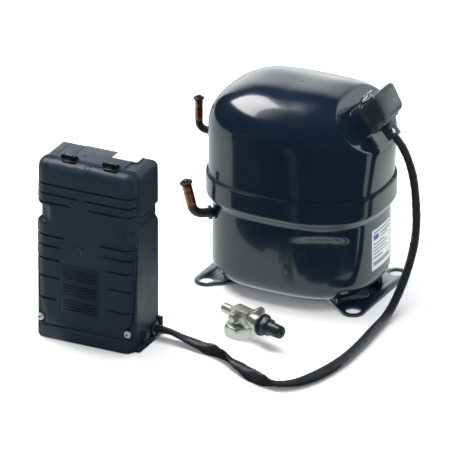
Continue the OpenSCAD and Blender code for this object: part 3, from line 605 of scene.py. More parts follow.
def oval_point(angle, inset):
    """Point and normal on a curve parallel to the shell's plan, with softly bowed sides."""
    shell = bpy.context.scene.compressor_shell
    soft = shell.soften
    r = shell.corner_radius
    lost = math.sqrt(1 + soft * soft) - 1
    rest = soft - lost
    # straight halves that give the frame's own width and length
    half_x = (BELL_HALF_X - r - rest * (BELL_HALF_Y - r)) / (1 - rest * rest)
    half_y = BELL_HALF_Y - r - rest * half_x
    c, s = math.cos(angle), math.sin(angle)
    root_c, root_s = math.sqrt(c * c + soft * soft), math.sqrt(s * s + soft * soft)
    support = half_x * (root_c - lost) + half_y * (root_s - lost) + r - inset
    slope = -half_x * c * s / root_c + half_y * s * c / root_s
    return (
        Vector((support * c - slope * s, support * s + slope * c, 0)),
        Vector((c, s, 0)),
    )


def shell_ring(inset, z, scale=1.0):
    ring = []
    for k in range(SHELL_STEPS):
        point, _ = oval_point(2 * math.pi * k / SHELL_STEPS, inset)
        ring.append(Vector((point.x * scale, point.y * scale, z)))
    return ring


def facet_frame():
    """Centre and outward direction of the terminal's facet."""
    tilt = bpy.context.scene.compressor_shell.facet_tilt
    out = Vector((math.sin(tilt), 0, math.cos(tilt)))
    reach = SHOULDER_R - FACET_DEPTH
    centre = Vector((UPPER[1].x - SHOULDER_R, 0, SHELL_TOP - SHOULDER_R)) + out * reach
    return centre, out


def dome_profile():
    """Insets and heights from the socket in the bell up to the crown, as (inset, z, scale)."""
    base = UPPER_INSET
    spring_line = SHELL_TOP - SHOULDER_R
    rows = [(base, BELL_TOP - 6 * MM, 1.0)]
    for i in range(SPRING_STEPS + 1):
        rows.append((base, BELL_TOP + (spring_line - BELL_TOP) * i / SPRING_STEPS, 1.0))
    power = SHOULDER_POWER
    for i in range(1, SHOULDER_STEPS + 1):
        # even steps along the arc crowd the rows where the shoulder turns
        inset = SHOULDER_TURN_IN * (1 - math.cos(math.pi / 2 * i / SHOULDER_STEPS))
        q = 1 - inset / SHOULDER_REACH
        rows.append((base + inset, spring_line + SHOULDER_R * (1 - q ** power) ** (1 / power), 1.0))
    last = rows[-1][1]
    slope = (rows[-1][1] - rows[-2][1]) / (rows[-1][0] - rows[-2][0])
    rise = SHELL_TOP - last
    span = (UPPER[1].x + UPPER[1].y) / 2 - SHOULDER_TURN_IN
    fall = max(slope * span / rise, 1.5)
    for i in range(1, CROWN_STEPS):
        scale = 1 - i / CROWN_STEPS
        rows.append((base + SHOULDER_TURN_IN, SHELL_TOP - rise * scale ** fall, scale))
    return rows


def press_facet(point):
    """Flattens what stands beyond the facet's plane, with a small fillet at its rim."""
    centre, out = facet_frame()
    above = (point - centre).dot(out)
    if above <= -FACET_FILLET:
        return point
    if above >= FACET_FILLET:
        target = 0.0
    else:
        target = above - (above + FACET_FILLET) ** 2 / (4 * FACET_FILLET)
    return point + out * (target - above)


def swell(point):
    """Fuller shoulder round the facet, so that the facet is cut as wide as the real one."""
    centre, out = facet_frame()
    offset = point - centre
    away = (offset - out * offset.dot(out)).length
    if offset.dot(out) < -60 * MM:
        return point
    return point + out * (FACET_SWELL * (1 - ramp(away, 52 * MM, 92 * MM)))


def build_dome():
    rows = dome_profile()
    rings = [[press_facet(swell(p)) for p in shell_ring(i, z, s)] for i, z, s in rows]
    mesh = bmesh.new()
    made = loft(mesh, rings, cap_start=False, cap_end=False)
    crown = mesh.verts.new((0, 0, SHELL_TOP))
    last = made[-1]
    for k in range(SHELL_STEPS):
        mesh.faces.new((last[k], last[(k + 1) % SHELL_STEPS], crown))
    piece = finish_piece("shell_dome", mesh, MATERIALS["shell_paint"])
    apply_modifier(piece, "SOLIDIFY", thickness=WALL, offset=-1, use_even_offset=True)
    ride_and_replace(piece, "upper_shell")


POCKET_ANGLE = math.radians(-67)
POCKET_HALF = 44 * MM
POCKET_LOW = 12 * MM
POCKET_EDGE = 92 * MM
POCKET_HIGH = 103 * MM
POCKET_DEPTH = 6.5 * MM


def pocket_move(angle, point, z):
    """Move along the wall's normal that presses the pocket in: deep under a ledge, fading out below."""
    if math.cos(angle - POCKET_ANGLE) < 0.3:
        return 0.0
    middle, _ = oval_point(POCKET_ANGLE, LOWER_INSET)
    side = Vector((-math.sin(POCKET_ANGLE), math.cos(POCKET_ANGLE), 0))
    across = abs((point - middle).dot(side)) / POCKET_HALF
    wide = 1 - ramp(across, 0.25, 1.0)
    # the ledge dips towards its ends
    drop = 5 * MM * across * across
    fade = ramp(z, POCKET_LOW, POCKET_EDGE + 14 * MM) * 1.15
    edge = 1 - ramp(z + drop, POCKET_EDGE, POCKET_HIGH)
    return -POCKET_DEPTH * wide * min(fade, 1.0) * edge


def bowl_profile():
    """Insets and heights from the middle of the bottom to the bell's top edge."""
    r = BOTTOM_R
    rows = []
    for i in range(13):
        turn = math.pi / 2 * i / 12
        rows.append((LOWER_INSET + r - r * math.sin(turn), SHELL_BOTTOM + r - r * math.cos(turn)))
    top = CREASE - CREASE_HEIGHT
    steps = 44
    start = SHELL_BOTTOM + r
    for i in range(1, steps + 1):
        rows.append((LOWER_INSET, start + (top - start) * i / steps))
    for i in range(1, 9):
        t = i / 8
        rows.append((LOWER_INSET * (1 - ramp(t, 0, 1)), top + CREASE_HEIGHT * t))
    for t in (0.12, 0.3, 0.5, 0.7, 0.88):
        rows.append((0.0, CREASE + (BELL_TOP - CREASE) * t))
    rows += [(0.0, BELL_TOP - 1 * MM), (0.3 * MM, BELL_TOP - 0.3 * MM), (1 * MM, BELL_TOP)]
    return rows


def build_bowl():
    rings = []
    for inset, z in bowl_profile():
        ring = []
        for k in range(SHELL_STEPS):
            angle = 2 * math.pi * k / SHELL_STEPS
            point, normal = oval_point(angle, inset)
            point += normal * pocket_move(angle, point, z)
            ring.append(Vector((point.x, point.y, z)))
        rings.append(ring)
    mesh = bmesh.new()
    # the bottom closes on a dished middle
    inner = [
        [Vector((p.x * s, p.y * s, SHELL_BOTTOM + BOTTOM_DISH * (1 - s))) for p in rings[0]]
        for s in (0.25, 0.5, 0.75, 0.9)
    ]
    made = loft(mesh, inner + rings, cap_start=False, cap_end=False)
    middle = mesh.verts.new((0, 0, SHELL_BOTTOM + BOTTOM_DISH))
    first = made[0]
    for k in range(SHELL_STEPS):
        mesh.faces.new((first[(k + 1) % SHELL_STEPS], first[k], middle))
    piece = finish_piece("shell_bowl", mesh, MATERIALS["shell_paint"])
    apply_modifier(piece, "SOLIDIFY", thickness=WALL, offset=-1, use_even_offset=True)
    ride_and_replace(piece, "lower_shell")


WELD_RIPPLES = 230


def build_weld():
    """The bead: a fillet with overlapping ripples all round the seam."""
    count, section = 720, 8
    ripple = 150
    mesh = bmesh.new()
    rings = []
    for k in range(count):
        angle = 2 * math.pi * k / count
        wave = 0.5 + 0.5 * math.sin(angle * ripple)
        wander = math.sin(angle * 7 + 1) + math.sin(angle * 17)
        size = (2.3 + 0.45 * wave + 0.15 * wander) * MM
        root, normal = oval_point(angle, UPPER_INSET + 0.4 * MM)
        ring = []
        for j in range(section):
            turn = 2 * math.pi * j / section
            out = max(math.cos(turn), -0.35)
            up = max(math.sin(turn), -0.4)
            ring.append(
                Vector((root.x, root.y, BELL_TOP)) + normal * (size * out) + Vector((0, 0, size * up))
            )
        rings.append(ring)
    made = [[mesh.verts.new(p) for p in ring] for ring in rings]
    for k in range(count):
        low, high = made[k], made[(k + 1) % count]
        for j in range(section):
            n = (j + 1) % section
            mesh.faces.new((low[j], low[n], high[n], high[j]))
    piece = finish_piece("weld_bead", mesh, MATERIALS["weld_bead"])
    ride_and_replace(piece, "seam_weld")
    track = []
    for k in range(360):
        root, normal = oval_point(2 * math.pi * k / 360, UPPER_INSET + 0.4 * MM)
        track.append(Vector((root.x, root.y, BELL_TOP + 0.7 * MM)) + normal * 0.7 * MM)
    ripples = repeated(
        "weld_ripples", track, "bead", (4.6 * MM, 4.6 * MM, 3.2 * MM), MATERIALS["weld_bead"],
        count=WELD_RIPPLES, closed=True,
    )
    ride_trim(ripples, "seam_weld")


# ---------------------------------------------------------------- stubs


STUB_WALL = 1 * MM
DISCHARGE_R = 4.75 * MM
SUCTION_R = 6 * MM
DISCHARGE_HEIGHT = 186 * MM


def carried_frames(path):
    """Directions along a path with sideways vectors that don't spin."""
    frames = []
    side = None
    for i in range(len(path)):
        ahead = path[min(i + 1, len(path) - 1)] - path[max(i - 1, 0)]
        ahead.normalize()
        if side is None:
            side = ahead.orthogonal().normalized()
        side = (side - ahead * side.dot(ahead)).normalized()
        frames.append((ahead, side, ahead.cross(side)))
    return frames


def tube_rings(path, radii, count=24):
    rings = []
    for point, (_, side, up), radius in zip(path, carried_frames(path), radii):
        rings.append(circle_points(point, side, up, radius, count))
    return rings


def stub_path(root, out, run, bend, lean, rise):
    """Outward, round a bend and up to the mouth."""
    up = Vector((0, 0, 1))
    points = [root + out * (run * t / 4) for t in range(-1, 5)]
    centre = root + out * run + up * bend
    steps = 16
    for i in range(1, steps + 1):
        turn = lean * i / steps
        points.append(centre + out * (bend * math.sin(turn)) - up * (bend * math.cos(turn)))
    ahead = out * math.cos(lean) + up * math.sin(lean)
    end = points[-1]
    for i in range(1, 17):
        points.append(end + ahead * (rise * i / 16))
    return points, ahead


def build_stub(name, node, root, out, radius, run, bend, lean, rise):
    path, ahead = stub_path(root, out, run, bend, lean, rise)
    total = len(path)
    radii, stains = [], []
    for i, point in enumerate(path):
        along = (point - path[-17]).dot(ahead) if i >= total - 17 else -1
        flare = 0.25 * MM * ramp(along, 2 * MM, 6 * MM)
        # a shallow crimp below the mouth
        crimp = 0.35 * MM * math.exp(-(((rise - along) - 9 * MM) / (1.3 * MM)) ** 2)
        radii.append(radius + flare - crimp)
        stains.append(1 - ramp(along, 1 * MM, 7 * MM) if i >= total - 17 else 1.0)
    outer = tube_rings(path, radii, 32)
    inner = tube_rings(path, [r - STUB_WALL for r in radii], 32)
    mesh = bmesh.new()
    rings = outer + inner[::-1]
    stains = stains + stains[::-1]
    layer = mesh.verts.layers.float.new("stain")
    made = loft(mesh, rings, cap_start=False, cap_end=False)
    count = len(made[0])
    for k in range(count):
        n = (k + 1) % count
        mesh.faces.new((made[-1][k], made[-1][n], made[0][n], made[0][k]))
    for ring, stain in zip(made, stains):
        for vert in ring:
            vert[layer] = stain
    piece = finish_piece(name, mesh, MATERIALS["copper"])
    ride_and_replace(piece, node)
    return path[-1], ahead


def build_plug(name, node, mouth, ahead, radius):
    """A push-in plug: a stem, a wide flange and a small grip."""
    side = ahead.orthogonal().normalized()
    up = ahead.cross(side)
    stem, flange = radius - 1.2 * MM, radius + 2.2 * MM
    profile = [
        (0.0, -9), (stem - 0.8 * MM, -9), (stem, -8), (stem, 0.4), (flange - 0.3 * MM, 0.4),
        (flange, 0.8), (flange, 1.9), (flange - 0.4 * MM, 2.4), (radius - 1.0 * MM, 2.7),
        (radius - 1.5 * MM, 3.0), (radius - 1.6 * MM, 4.6), (radius - 2.2 * MM, 5.1), (0.0, 5.2),
    ]
    rings = [
        circle_points(mouth + ahead * (z * MM), side, up, max(r, 0.05 * MM), 36) for r, z in profile
    ]
    piece = loft_piece(name, rings, MATERIALS["plug_rubber"])
    ride_and_replace(piece, node)


def build_stubs():
    out = Vector((-1, 0, 0))
    mouth, ahead = build_stub(
        "discharge_tube", "discharge_stub", Vector((UPPER[0].x, -18 * MM, DISCHARGE_HEIGHT)), out,
        DISCHARGE_R, 9 * MM, 10 * MM, math.radians(90), 30 * MM,
    )
    build_plug("discharge_bung", "discharge_plug", mouth, ahead, DISCHARGE_R)
    yaw = math.radians(217)
    out = Vector((math.cos(yaw), math.sin(yaw), 0))
    corner = Vector((-38 * MM, -17 * MM, 96 * MM))
    mouth, ahead = build_stub(
        "suction_tube", "suction_stub", corner + out * 72 * MM, out,
        SUCTION_R, 11 * MM, 14 * MM, math.radians(77), 32 * MM,
    )
    build_plug("suction_bung", "suction_plug", mouth, ahead, SUCTION_R)
    softened("stub_collars", MATERIALS["weld_bead"], 0.8 * MM, 3)


# ---------------------------------------------------------------- terminal


def to_terminal(points):
    """Places points given as (down the side, along Y, out) on the facet."""
    centre, out = facet_frame()
    down = Vector((out.z, 0, -out.x))
    across = Vector((0, 1, 0))
    return [centre + down * p[0] + across * p[1] + out * p[2] for p in points]


def rounded_outline(w, d, r, steps=8):
    """Corner-rounded rectangle as (x, y) pairs, anticlockwise."""
    points = []
    for q, (sx, sy) in enumerate(((1, 1), (-1, 1), (-1, -1), (1, -1))):
        for i in range(steps + 1):
            turn = math.pi / 2 * (q + i / steps)
            x = sx * (w / 2 - r) + r * math.cos(turn)
            points.append((x, sy * (d / 2 - r) + r * math.sin(turn)))
    return points


# how much the cover's face slopes towards the shell's side
COVER_SLANT = 0.22


def terminal_rings(rows, steps=8, slant=0.0):
    """Rings of a rounded rectangle as (width, depth, radius, height), the high ones leaning down."""
    lean = 3 * MM if slant else 0.0
    return [
        to_terminal([
            (x - lean * ramp(z, 21, 40), y, z * MM - x * slant * ramp(z, 22, 42))
            for x, y in rounded_outline(w * MM, d * MM, r * MM, steps)
        ])
        for w, d, r, z in rows
    ]


WIRE_SIDES = 10


def wire_loop(name, outline, radius, material, node):
    """A closed wire through points that lie in one plane."""
    count = len(outline)
    normal = (outline[1] - outline[0]).cross(outline[count // 2] - outline[0]).normalized()
    mesh = bmesh.new()
    made = []
    for k, point in enumerate(outline):
        ahead = (outline[(k + 1) % count] - outline[k - 1]).normalized()
        ring = circle_points(point, normal, ahead.cross(normal), radius, WIRE_SIDES)
        made.append([mesh.verts.new(p) for p in ring])
    for k in range(count):
        low, high = made[k], made[(k + 1) % count]
        for j in range(WIRE_SIDES):
            n = (j + 1) % WIRE_SIDES
            mesh.faces.new((low[j], low[n], high[n], high[j]))
    ride_trim(finish_piece(name, mesh, material), node)


def build_clip():
    """The bright spring clip that holds the cover: a plate over the rim and a wire bail."""
    steel = MATERIALS["bright_steel"]
    # the plate's bent section, as (down the side, out)
    section = (
        (-21.4, 9), (-21.6, 12), (-22.2, 14), (-22.4, 19), (-21.6, 20.6), (-19.8, 21.4), (-19.4, 24),
        (-19.3, 29),
    )
    rows = [[(x, -17, z), (x - 0.9, -17, z + 0.2), (x - 0.9, 9, z + 0.2), (x, 9, z)] for x, z in section]
    rings = [to_terminal([Vector(p) * MM for p in row]) for row in rows]
    plate = loft_piece("clip_plate", rings, steel)
    sharpen(plate, 30)
    ride_and_replace(plate, "cover_clip")
    bail = [(-22.6 - 0.25 * (v + 6), u - 4, 22 + v) for u, v in rounded_outline(21, 11, 3.5, 6)]
    wire_loop("clip_bail", to_terminal([Vector(p) * MM for p in bail]), 1.2 * MM, steel, "cover_clip")


def build_cover():
    """The terminal's snap-on cover: a rim, a waist and a crowned face."""
    # each row is a width, a depth, a corner radius and a height over the facet
    rows = [
        (38.5, 56.5, 9.5, 14.0), (41.0, 59.0, 10.5, 14.0), (42.4, 60.4, 11.2, 14.8), (42.4, 60.4, 11.2, 18.8),
        (41.6, 59.6, 10.9, 19.8), (39.0, 57.6, 10, 20.4), (37.6, 56.6, 9.6, 21.4), (36.8, 56.0, 9.2, 26),
        (36.6, 55.8, 8.6, 32), (36.4, 55.6, 8.2, 37), (35.8, 55.2, 7.8, 39.8), (34.6, 54.2, 7.2, 41.4),
        (33.0, 52.8, 6.4, 42.5), (31.0, 51, 5.4, 43.0), (22, 42, 4, 43.3), (12, 32, 3, 43.35),
    ]
    mesh = bmesh.new()
    rings = terminal_rings(rows, slant=COVER_SLANT)
    loft(mesh, rings, cap_start=False, cap_end=True)
    piece = finish_piece("terminal_hood", mesh, MATERIALS["cover_plastic"])
    apply_modifier(piece, "SOLIDIFY", thickness=1.8 * MM, offset=-1, use_even_offset=True)
    sharpen(piece, 60)
    ride_and_replace(piece, "terminal_cover")
    # a thin lighter plate on the face: painted sheen of the light on the cover's top
    panel = [(25, 45, 4.6, 43.2), (25, 45, 4.6, 43.7), (24.2, 44.2, 4.2, 43.9)]
    face = terminal_rings(panel, slant=COVER_SLANT)
    ride_trim(loft_piece("hood_face_sheen", face, MATERIALS["panel_cover"]), "terminal_cover")


def build_fence():
    rows_out = [(36, 54, 9, 0.1), (36, 54, 9, 29.4), (35.4, 53.4, 8.7, 30)]
    rows_in = [(32.6, 50.6, 7.3, 30), (32, 50, 7, 29.4), (32, 50, 7, 0.1)]
    mesh = bmesh.new()
    rings = terminal_rings(rows_out + rows_in)
    made = loft(mesh, rings, cap_start=False, cap_end=False)
    count = len(made[0])
    for k in range(count):
        n = (k + 1) % count
        mesh.faces.new((made[-1][k], made[-1][n], made[0][n], made[0][k]))
    piece = finish_piece("fence_ring", mesh, MATERIALS["fence_paint"])
    sharpen(piece, 50)
    ride_and_replace(piece, "terminal_fence")
    # the weld fillet where the fence meets the facet
    foot = terminal_rings([
        (35.6, 53.6, 9, 2.6), (37.2, 55.2, 9.6, 1.0), (40.4, 58.4, 11, 0.12), (35.6, 53.6, 9, 0.02),
    ])
    mesh = bmesh.new()
    made = loft(mesh, foot, cap_start=False, cap_end=False)
    for k in range(count):
        n = (k + 1) % count
        mesh.faces.new((made[-1][k], made[-1][n], made[0][n], made[0][k]))
    ride_trim(finish_piece("fence_fillet", mesh, MATERIALS["fence_paint"]), "terminal_fence")


# ---------------------------------------------------------------- lead

# the lead lies along these points, in millimetres, as in the part's own source
LEAD_ROUTE = [
    (129, 0, 220), (138, 0, 209), (146, -1, 196), (153, -2, 178), (158, -4, 158),
    (161, -6, 136), (163, -9, 114), (163, -13, 92), (161, -19, 70), (158, -28, 49),
    (155, -40, 31), (153, -55, 17), (152, -73, 9), (152, -95, 7), (154, -120, 7),
    (156, -150, 7), (157, -180, 7), (156, -210, 7), (152, -240, 7), (145, -266, 7),
    (134, -288, 7), (117, -301, 7), (97, -303, 7), (76, -294, 7), (54, -279, 7),
    (30, -265, 7), (4, -253, 7), (-22, -244, 7), (-48, -238, 9), (-66, -236, 12),
    (-84, -236, 12),
]


def smooth_path(points, per_span):
    """Catmull-Rom curve through points."""
    out = []
    last = len(points) - 1
    for i in range(last):
        p0, p1 = points[max(i - 1, 0)], points[i]
        p2, p3 = points[i + 1], points[min(i + 2, last)]
        for k in range(per_span):
            t = k / per_span
            out.append(
                0.5 * (2 * p1 + (p2 - p0) * t + (2 * p0 - 5 * p1 + 4 * p2 - p3) * t ** 2
                       + (3 * p1 - p0 - 3 * p2 + p3) * t ** 3)
            )
    out.append(points[-1].copy())
    return out


# where the flattened sleeve turns over: share of its length, and how far it has turned there
SLEEVE_TWISTS = (
    (0.0, 90), (0.3, 90), (0.5, 70), (0.64, 40), (0.70, 60), (0.745, 150), (0.80, 215), (0.85, 300),
    (0.90, 395), (0.95, 430), (1.0, 450),
)
SLEEVE_SIDES = 28


def twist_at(share):
    for (s0, a0), (s1, a1) in zip(SLEEVE_TWISTS, SLEEVE_TWISTS[1:]):
        if share <= s1:
            return math.radians(a0 + (a1 - a0) * ramp(share, s0, s1))
    return math.radians(SLEEVE_TWISTS[-1][1])


def build_lead():
    lead = bpy.context.scene.compressor_lead
    path = smooth_path([Vector(p) * MM for p in LEAD_ROUTE], 8)
    frames = carried_frames(path)
    total = len(path) - 1
    rings = []
    for i, (point, (_, side, up)) in enumerate(zip(path, frames)):
        share = i / total
        ends = min(ramp(share, 0, 0.02), ramp(1 - share, 0, 0.02))
        crease = 0.05 * math.sin(share * 330) + 0.04 * math.sin(share * 91 + 1)
        turn = twist_at(share)
        pressed = ramp(share, 0.6, 0.72) * ramp(1 - share, 0.01, 0.05)
        wide = lead.width / 2 * (0.9 + 0.1 * ends) * (1 + crease * 0.6)
        thick = lead.thickness / 2 * (1 - crease * 0.7) * (1 - 0.22 * pressed)
        flat = side * math.cos(turn) + up * math.sin(turn)
        tall = up * math.cos(turn) - side * math.sin(turn)
        ring = []
        for k in range(SLEEVE_SIDES):
            a = 2 * math.pi * k / SLEEVE_SIDES
            c, s = math.cos(a), math.sin(a)
            # round up at the clamp, and pressed to a lens with sharp edges where it lies on the floor
            edge = 0.85 + 0.75 * pressed
            ring.append(
                point + flat * (wide * math.copysign(abs(c) ** 0.9, c))
                + tall * (thick * math.copysign(abs(s) ** edge, s))
            )
        # the sleeve rests on the floor, whichever way it is turned
        lift = max(0.3 * MM - min(p.z for p in ring), 0.0)
        rings.append([p + Vector((0, 0, lift)) for p in ring])
    piece = loft_piece("lead_sleeve", rings, MATERIALS["cord_sleeve"])
    ride_and_replace(piece, "cord")


# ---------------------------------------------------------------- electrical box

BOX_LOW = Vector((BOX_BACK[0].x, BOX_COVER[0].y, 0))
BOX_W = BOX_BACK[1].x - BOX_BACK[0].x
BOX_FRONT_R = 14 * MM
BOX_BACK_R = 5 * MM
BOX_TOP = 238 * MM
BOX_TOP_R = 12 * MM
BOX_SEAM_TOP = 18 * MM
BOX_SEAM_SLOPE = 15 * MM
WAIST = (157 * MM, 178 * MM)
WAIST_DEPTH = 5.5 * MM
SKIRT = 17 * MM
HEEL_DEPTH = 3.2 * MM
RIM_RISE = 1.3 * MM
# height, reach from the left edge and from the right edge, in millimetres; the first runs right across
GROOVES = (
    (208.5, 135, 135), (195.5, 62, 67), (183.5, 51, 62), (139, 42, 46), (125, 36, 42), (107, 36, 38),
    (83, 35, 36), (53.5, 30, 36),
)


def groove_cut(x, z):
    """Depth of the grooves at a place on the cover's face."""
    depth = bpy.context.scene.compressor_box.groove_depth
    from_left, from_right = x - BOX_LOW.x, BOX_LOW.x + BOX_W - x
    cut = 0.0
    for height, left, right in GROOVES:
        near = 1 - ramp(abs(z - height * MM), 0.5 * MM, 1.6 * MM)
        if near <= 0:
            continue
        reach = max(
            1 - ramp(from_left, left * MM - 3 * MM, left * MM),
            1 - ramp(from_right, right * MM - 3 * MM, right * MM),
        )
        cut = max(cut, depth * near * reach)
    return cut


def box_outline(inset):
    """The box's plan as points with outward normals, anticlockwise from the back right."""
    box_d = BOX_BACK[1].y - BOX_LOW.y
    x0, x1 = BOX_LOW.x + inset, BOX_LOW.x + BOX_W - inset
    y0, y1 = BOX_LOW.y + inset, BOX_LOW.y + box_d - inset
    front = max(BOX_FRONT_R - inset, 1 * MM)
    back = max(BOX_BACK_R - inset, 1 * MM)
    corners = (
        (x1 - back, y1 - back, back, 0), (x0 + back, y1 - back, back, 90),
        (x0 + front, y0 + front, front, 180), (x1 - front, y0 + front, front, 270),
    )
    points = []
    for q, (cx, cy, r, start) in enumerate(corners):
        steps = 12 if r == front else 6
        for i in range(steps + 1):
            a = math.radians(start + 90 * i / steps)
            normal = Vector((math.cos(a), math.sin(a), 0))
            points.append((Vector((cx + r * math.cos(a), cy + r * math.sin(a), 0)), normal))
        nx, ny, nr, nstart = corners[(q + 1) % 4]
        begin = points[-1]
        a = math.radians(nstart)
        end = Vector((nx + nr * math.cos(a), ny + nr * math.sin(a), 0))
        count = 40 if q == 2 else 16
        for i in range(1, count):
            points.append((begin[0].lerp(end, i / count), begin[1]))
    return points


def box_levels():
    """Heights of the rows: close together at each groove, step and rounding."""
    levels = {0.0, 0.6, 1.5, 9.0, 15.0, 16.2, 17.0, 17.8, 19.0}
    for height, _, _ in GROOVES:
        levels |= {height + d for d in (-2.2, -1.6, -1.05, -0.5, 0.5, 1.05, 1.6, 2.2)}
    for edge in (WAIST[0] / MM, WAIST[1] / MM):
        levels |= {edge + d for d in (-4, -2.6, -1.2, 0, 1.2, 2.6, 4)}
    z = 24.0
    while z < 224:
        if min(abs(z - v) for v in levels) > 2.5:
            levels.add(z)
        z += 5
    return sorted(levels)


def waist_in(z):
    low, high = WAIST
    return ramp(z, low - 3 * MM, low + 3 * MM) * (1 - ramp(z, high - 3 * MM, high + 3 * MM))


def box_ring(inset, z):
    depth = WAIST_DEPTH * waist_in(z)
    x0, x1 = BOX_LOW.x + depth, BOX_LOW.x + BOX_W - depth
    seam = BOX_LOW.y + BOX_SEAM_TOP - BOX_SEAM_SLOPE * (1 - z / BOX_TOP)
    ring = []
    for point, normal in box_outline(inset):
        in_front = point.y < seam + 1 * MM
        if in_front:
            # both front corners are pinched in at the waist, and pocketed for the screws
            side = min(point.x - BOX_LOW.x, BOX_LOW.x + BOX_W - point.x)
            corner = 1 - ramp(side, 13 * MM, 22 * MM)
            point = point - normal * (depth * corner)
            heel = (1 - ramp(side, 9 * MM, 15 * MM)) * ramp(z, SKIRT, SKIRT + 2 * MM)
            point = point - normal * (HEEL_DEPTH * heel * (1 - ramp(z, SKIRT + 16 * MM, SKIRT + 24 * MM)))
            point = point - normal * groove_cut(point.x, z)
            lip = 1.6 * MM * (1 - ramp(z, SKIRT - 0.8 * MM, SKIRT + 0.6 * MM))
            point = point + normal * (lip - 0.9 * MM * math.exp(-(((z - SKIRT - 1 * MM) / (0.9 * MM)) ** 2)))
        ring.append(Vector((min(max(point.x, x0), x1), point.y, z)))
    return ring


def box_surface():
    rings = [box_ring(0.6 * MM, 0.0)]
    for z in box_levels()[1:]:
        rings.append(box_ring(0.0, z * MM))
    steps = 9
    for i in range(1, steps + 1):
        turn = math.pi / 2 * i / steps
        inset = BOX_TOP_R * (1 - math.cos(turn))
        rings.append(box_ring(inset, BOX_TOP - BOX_TOP_R + BOX_TOP_R * math.sin(turn)))
    mesh = bmesh.new()
    loft(mesh, rings)
    bmesh.ops.recalc_face_normals(mesh, faces=mesh.faces)
    return mesh


def seam_plane():
    """A point on the slanted seam and its direction towards the back."""
    low = Vector((0, BOX_LOW.y + BOX_SEAM_TOP - BOX_SEAM_SLOPE, 0))
    slant = Vector((0, BOX_SEAM_SLOPE, BOX_TOP)).normalized()
    return low, Vector((0, slant.z, -slant.y))


def box_half(name, node, keep_front):
    """Cuts one half of the box along the seam and raises a rim beside the joint."""
    mesh = box_surface()
    low, back = seam_plane()
    gap = 0.4 * MM
    side = -1 if keep_front else 1
    # rows that the rim's steps run along
    for distance in (1.0, 1.6, 4.0, 4.6) if not keep_front else (1.0, 1.6, 3.0, 3.6):
        geometry = mesh.verts[:] + mesh.edges[:] + mesh.faces[:]
        cut = low + back * (side * distance * MM)
        bmesh.ops.bisect_plane(mesh, geom=geometry, plane_co=cut, plane_no=back)
    geometry = mesh.verts[:] + mesh.edges[:] + mesh.faces[:]
    bmesh.ops.bisect_plane(
        mesh, geom=geometry, plane_co=low + back * (side * gap), plane_no=back,
        clear_outer=keep_front, clear_inner=not keep_front,
    )
    mesh.normal_update()
    rim_far = 3.3 if keep_front else 4.3
    moves = []
    for vert in mesh.verts:
        away = side * (vert.co - low).dot(back)
        if 1.3 * MM < away < rim_far * MM and vert.co.z > 2 * MM:
            moves.append((vert, vert.normal * RIM_RISE))
        elif away < 0.6 * MM:
            moves.append((vert, vert.normal * (-0.5 * MM)))
    for vert, move in moves:
        vert.co += move
    piece = finish_piece(name, mesh, MATERIALS["box_plastic"])
    # an open shell's faces are turned by the cut's own winding, not by a closed test
    outward_from(piece, Vector((BOX_LOW.x + BOX_W / 2, BOX_LOW.y + 40 * MM, 110 * MM)))
    apply_modifier(piece, "SOLIDIFY", thickness=bpy.context.scene.compressor_box.wall, offset=-1)
    sharpen(piece, 50)
    ride_and_replace(piece, node)
    return piece


def outward_from(piece, inside):
    """Turns all faces outward if most of them face a point inside."""
    score = sum((f.center - inside).dot(f.normal) * f.area for f in piece.data.polygons)
    if score < 0:
        piece.data.flip_normals()


def build_box():
    box_half("box_front", "box_cover", True)
    box_half("box_rear", "box_back", False)


def slab(name, low, high, bevel, material, segments=3):
    """A block with rounded edges between two corners."""
    mesh = bmesh.new()
    bmesh.ops.create_cube(mesh, size=1)
    size = Vector(high) - Vector(low)
    centre = (Vector(low) + Vector(high)) / 2
    for vert in mesh.verts:
        vert.co = Vector((vert.co.x * size.x, vert.co.y * size.y, vert.co.z * size.z)) + centre
    piece = finish_piece(name, mesh, material)
    apply_modifier(piece, "BEVEL", width=bevel, segments=segments, limit_method="ANGLE")
    return sharpen(piece, 40)


def hinge_ear(name, x0, x1, side, node):
    """An ear from the box's top round the hinge pin, towards the back or the front."""
    pin = Vector((0, BOX_LOW.y + BOX_SEAM_TOP, BOX_TOP + 4.5 * MM))
    turns = [math.radians(a) for a in range(200, -1, -20)]
    outline = [(3.6 * math.cos(a), 3.6 * math.sin(a)) for a in turns]
    outline += [(8.6, -3.6), (8.6, -5.2), (0.6, -5.2), (0.6, -3.6)]
    rings = [
        [pin + Vector((x - pin.x, side * u * MM * shrink, v * MM * shrink)) for u, v in outline]
        for x, shrink in ((x0, 0.9), (x0 + 0.4 * MM, 1), (x1 - 0.4 * MM, 1), (x1, 0.9))
    ]
    piece = loft_piece(name, rings, MATERIALS["clip_plastic"])
    sharpen(piece, 40)
    ride_trim(piece, node)


def surface_strip(name, x, width, y_far, rise, material, node):
    """A strip that lies over the cover's rounded top edge and runs back."""
    low = BOX_LOW.y
    path = []
    for k in range(9):
        turn = math.radians(20 + 70 * k / 8)
        z = BOX_TOP - BOX_TOP_R + BOX_TOP_R * math.sin(turn)
        path.append((low + BOX_TOP_R - BOX_TOP_R * math.cos(turn), z, turn))
    path.append((y_far, BOX_TOP, math.pi / 2))
    rings = []
    for y, z, turn in path:
        out = Vector((0, -math.cos(turn), math.sin(turn)))
        base = Vector((x, y, z))
        wide = Vector((width / 2, 0, 0))
        rings.append([
            base - wide - out * 1 * MM, base + wide - out * 1 * MM, base + wide * 0.9 + out * rise,
            base - wide * 0.9 + out * rise,
        ])
    ride_trim(sharpen(loft_piece(name, rings, material), 30), node)


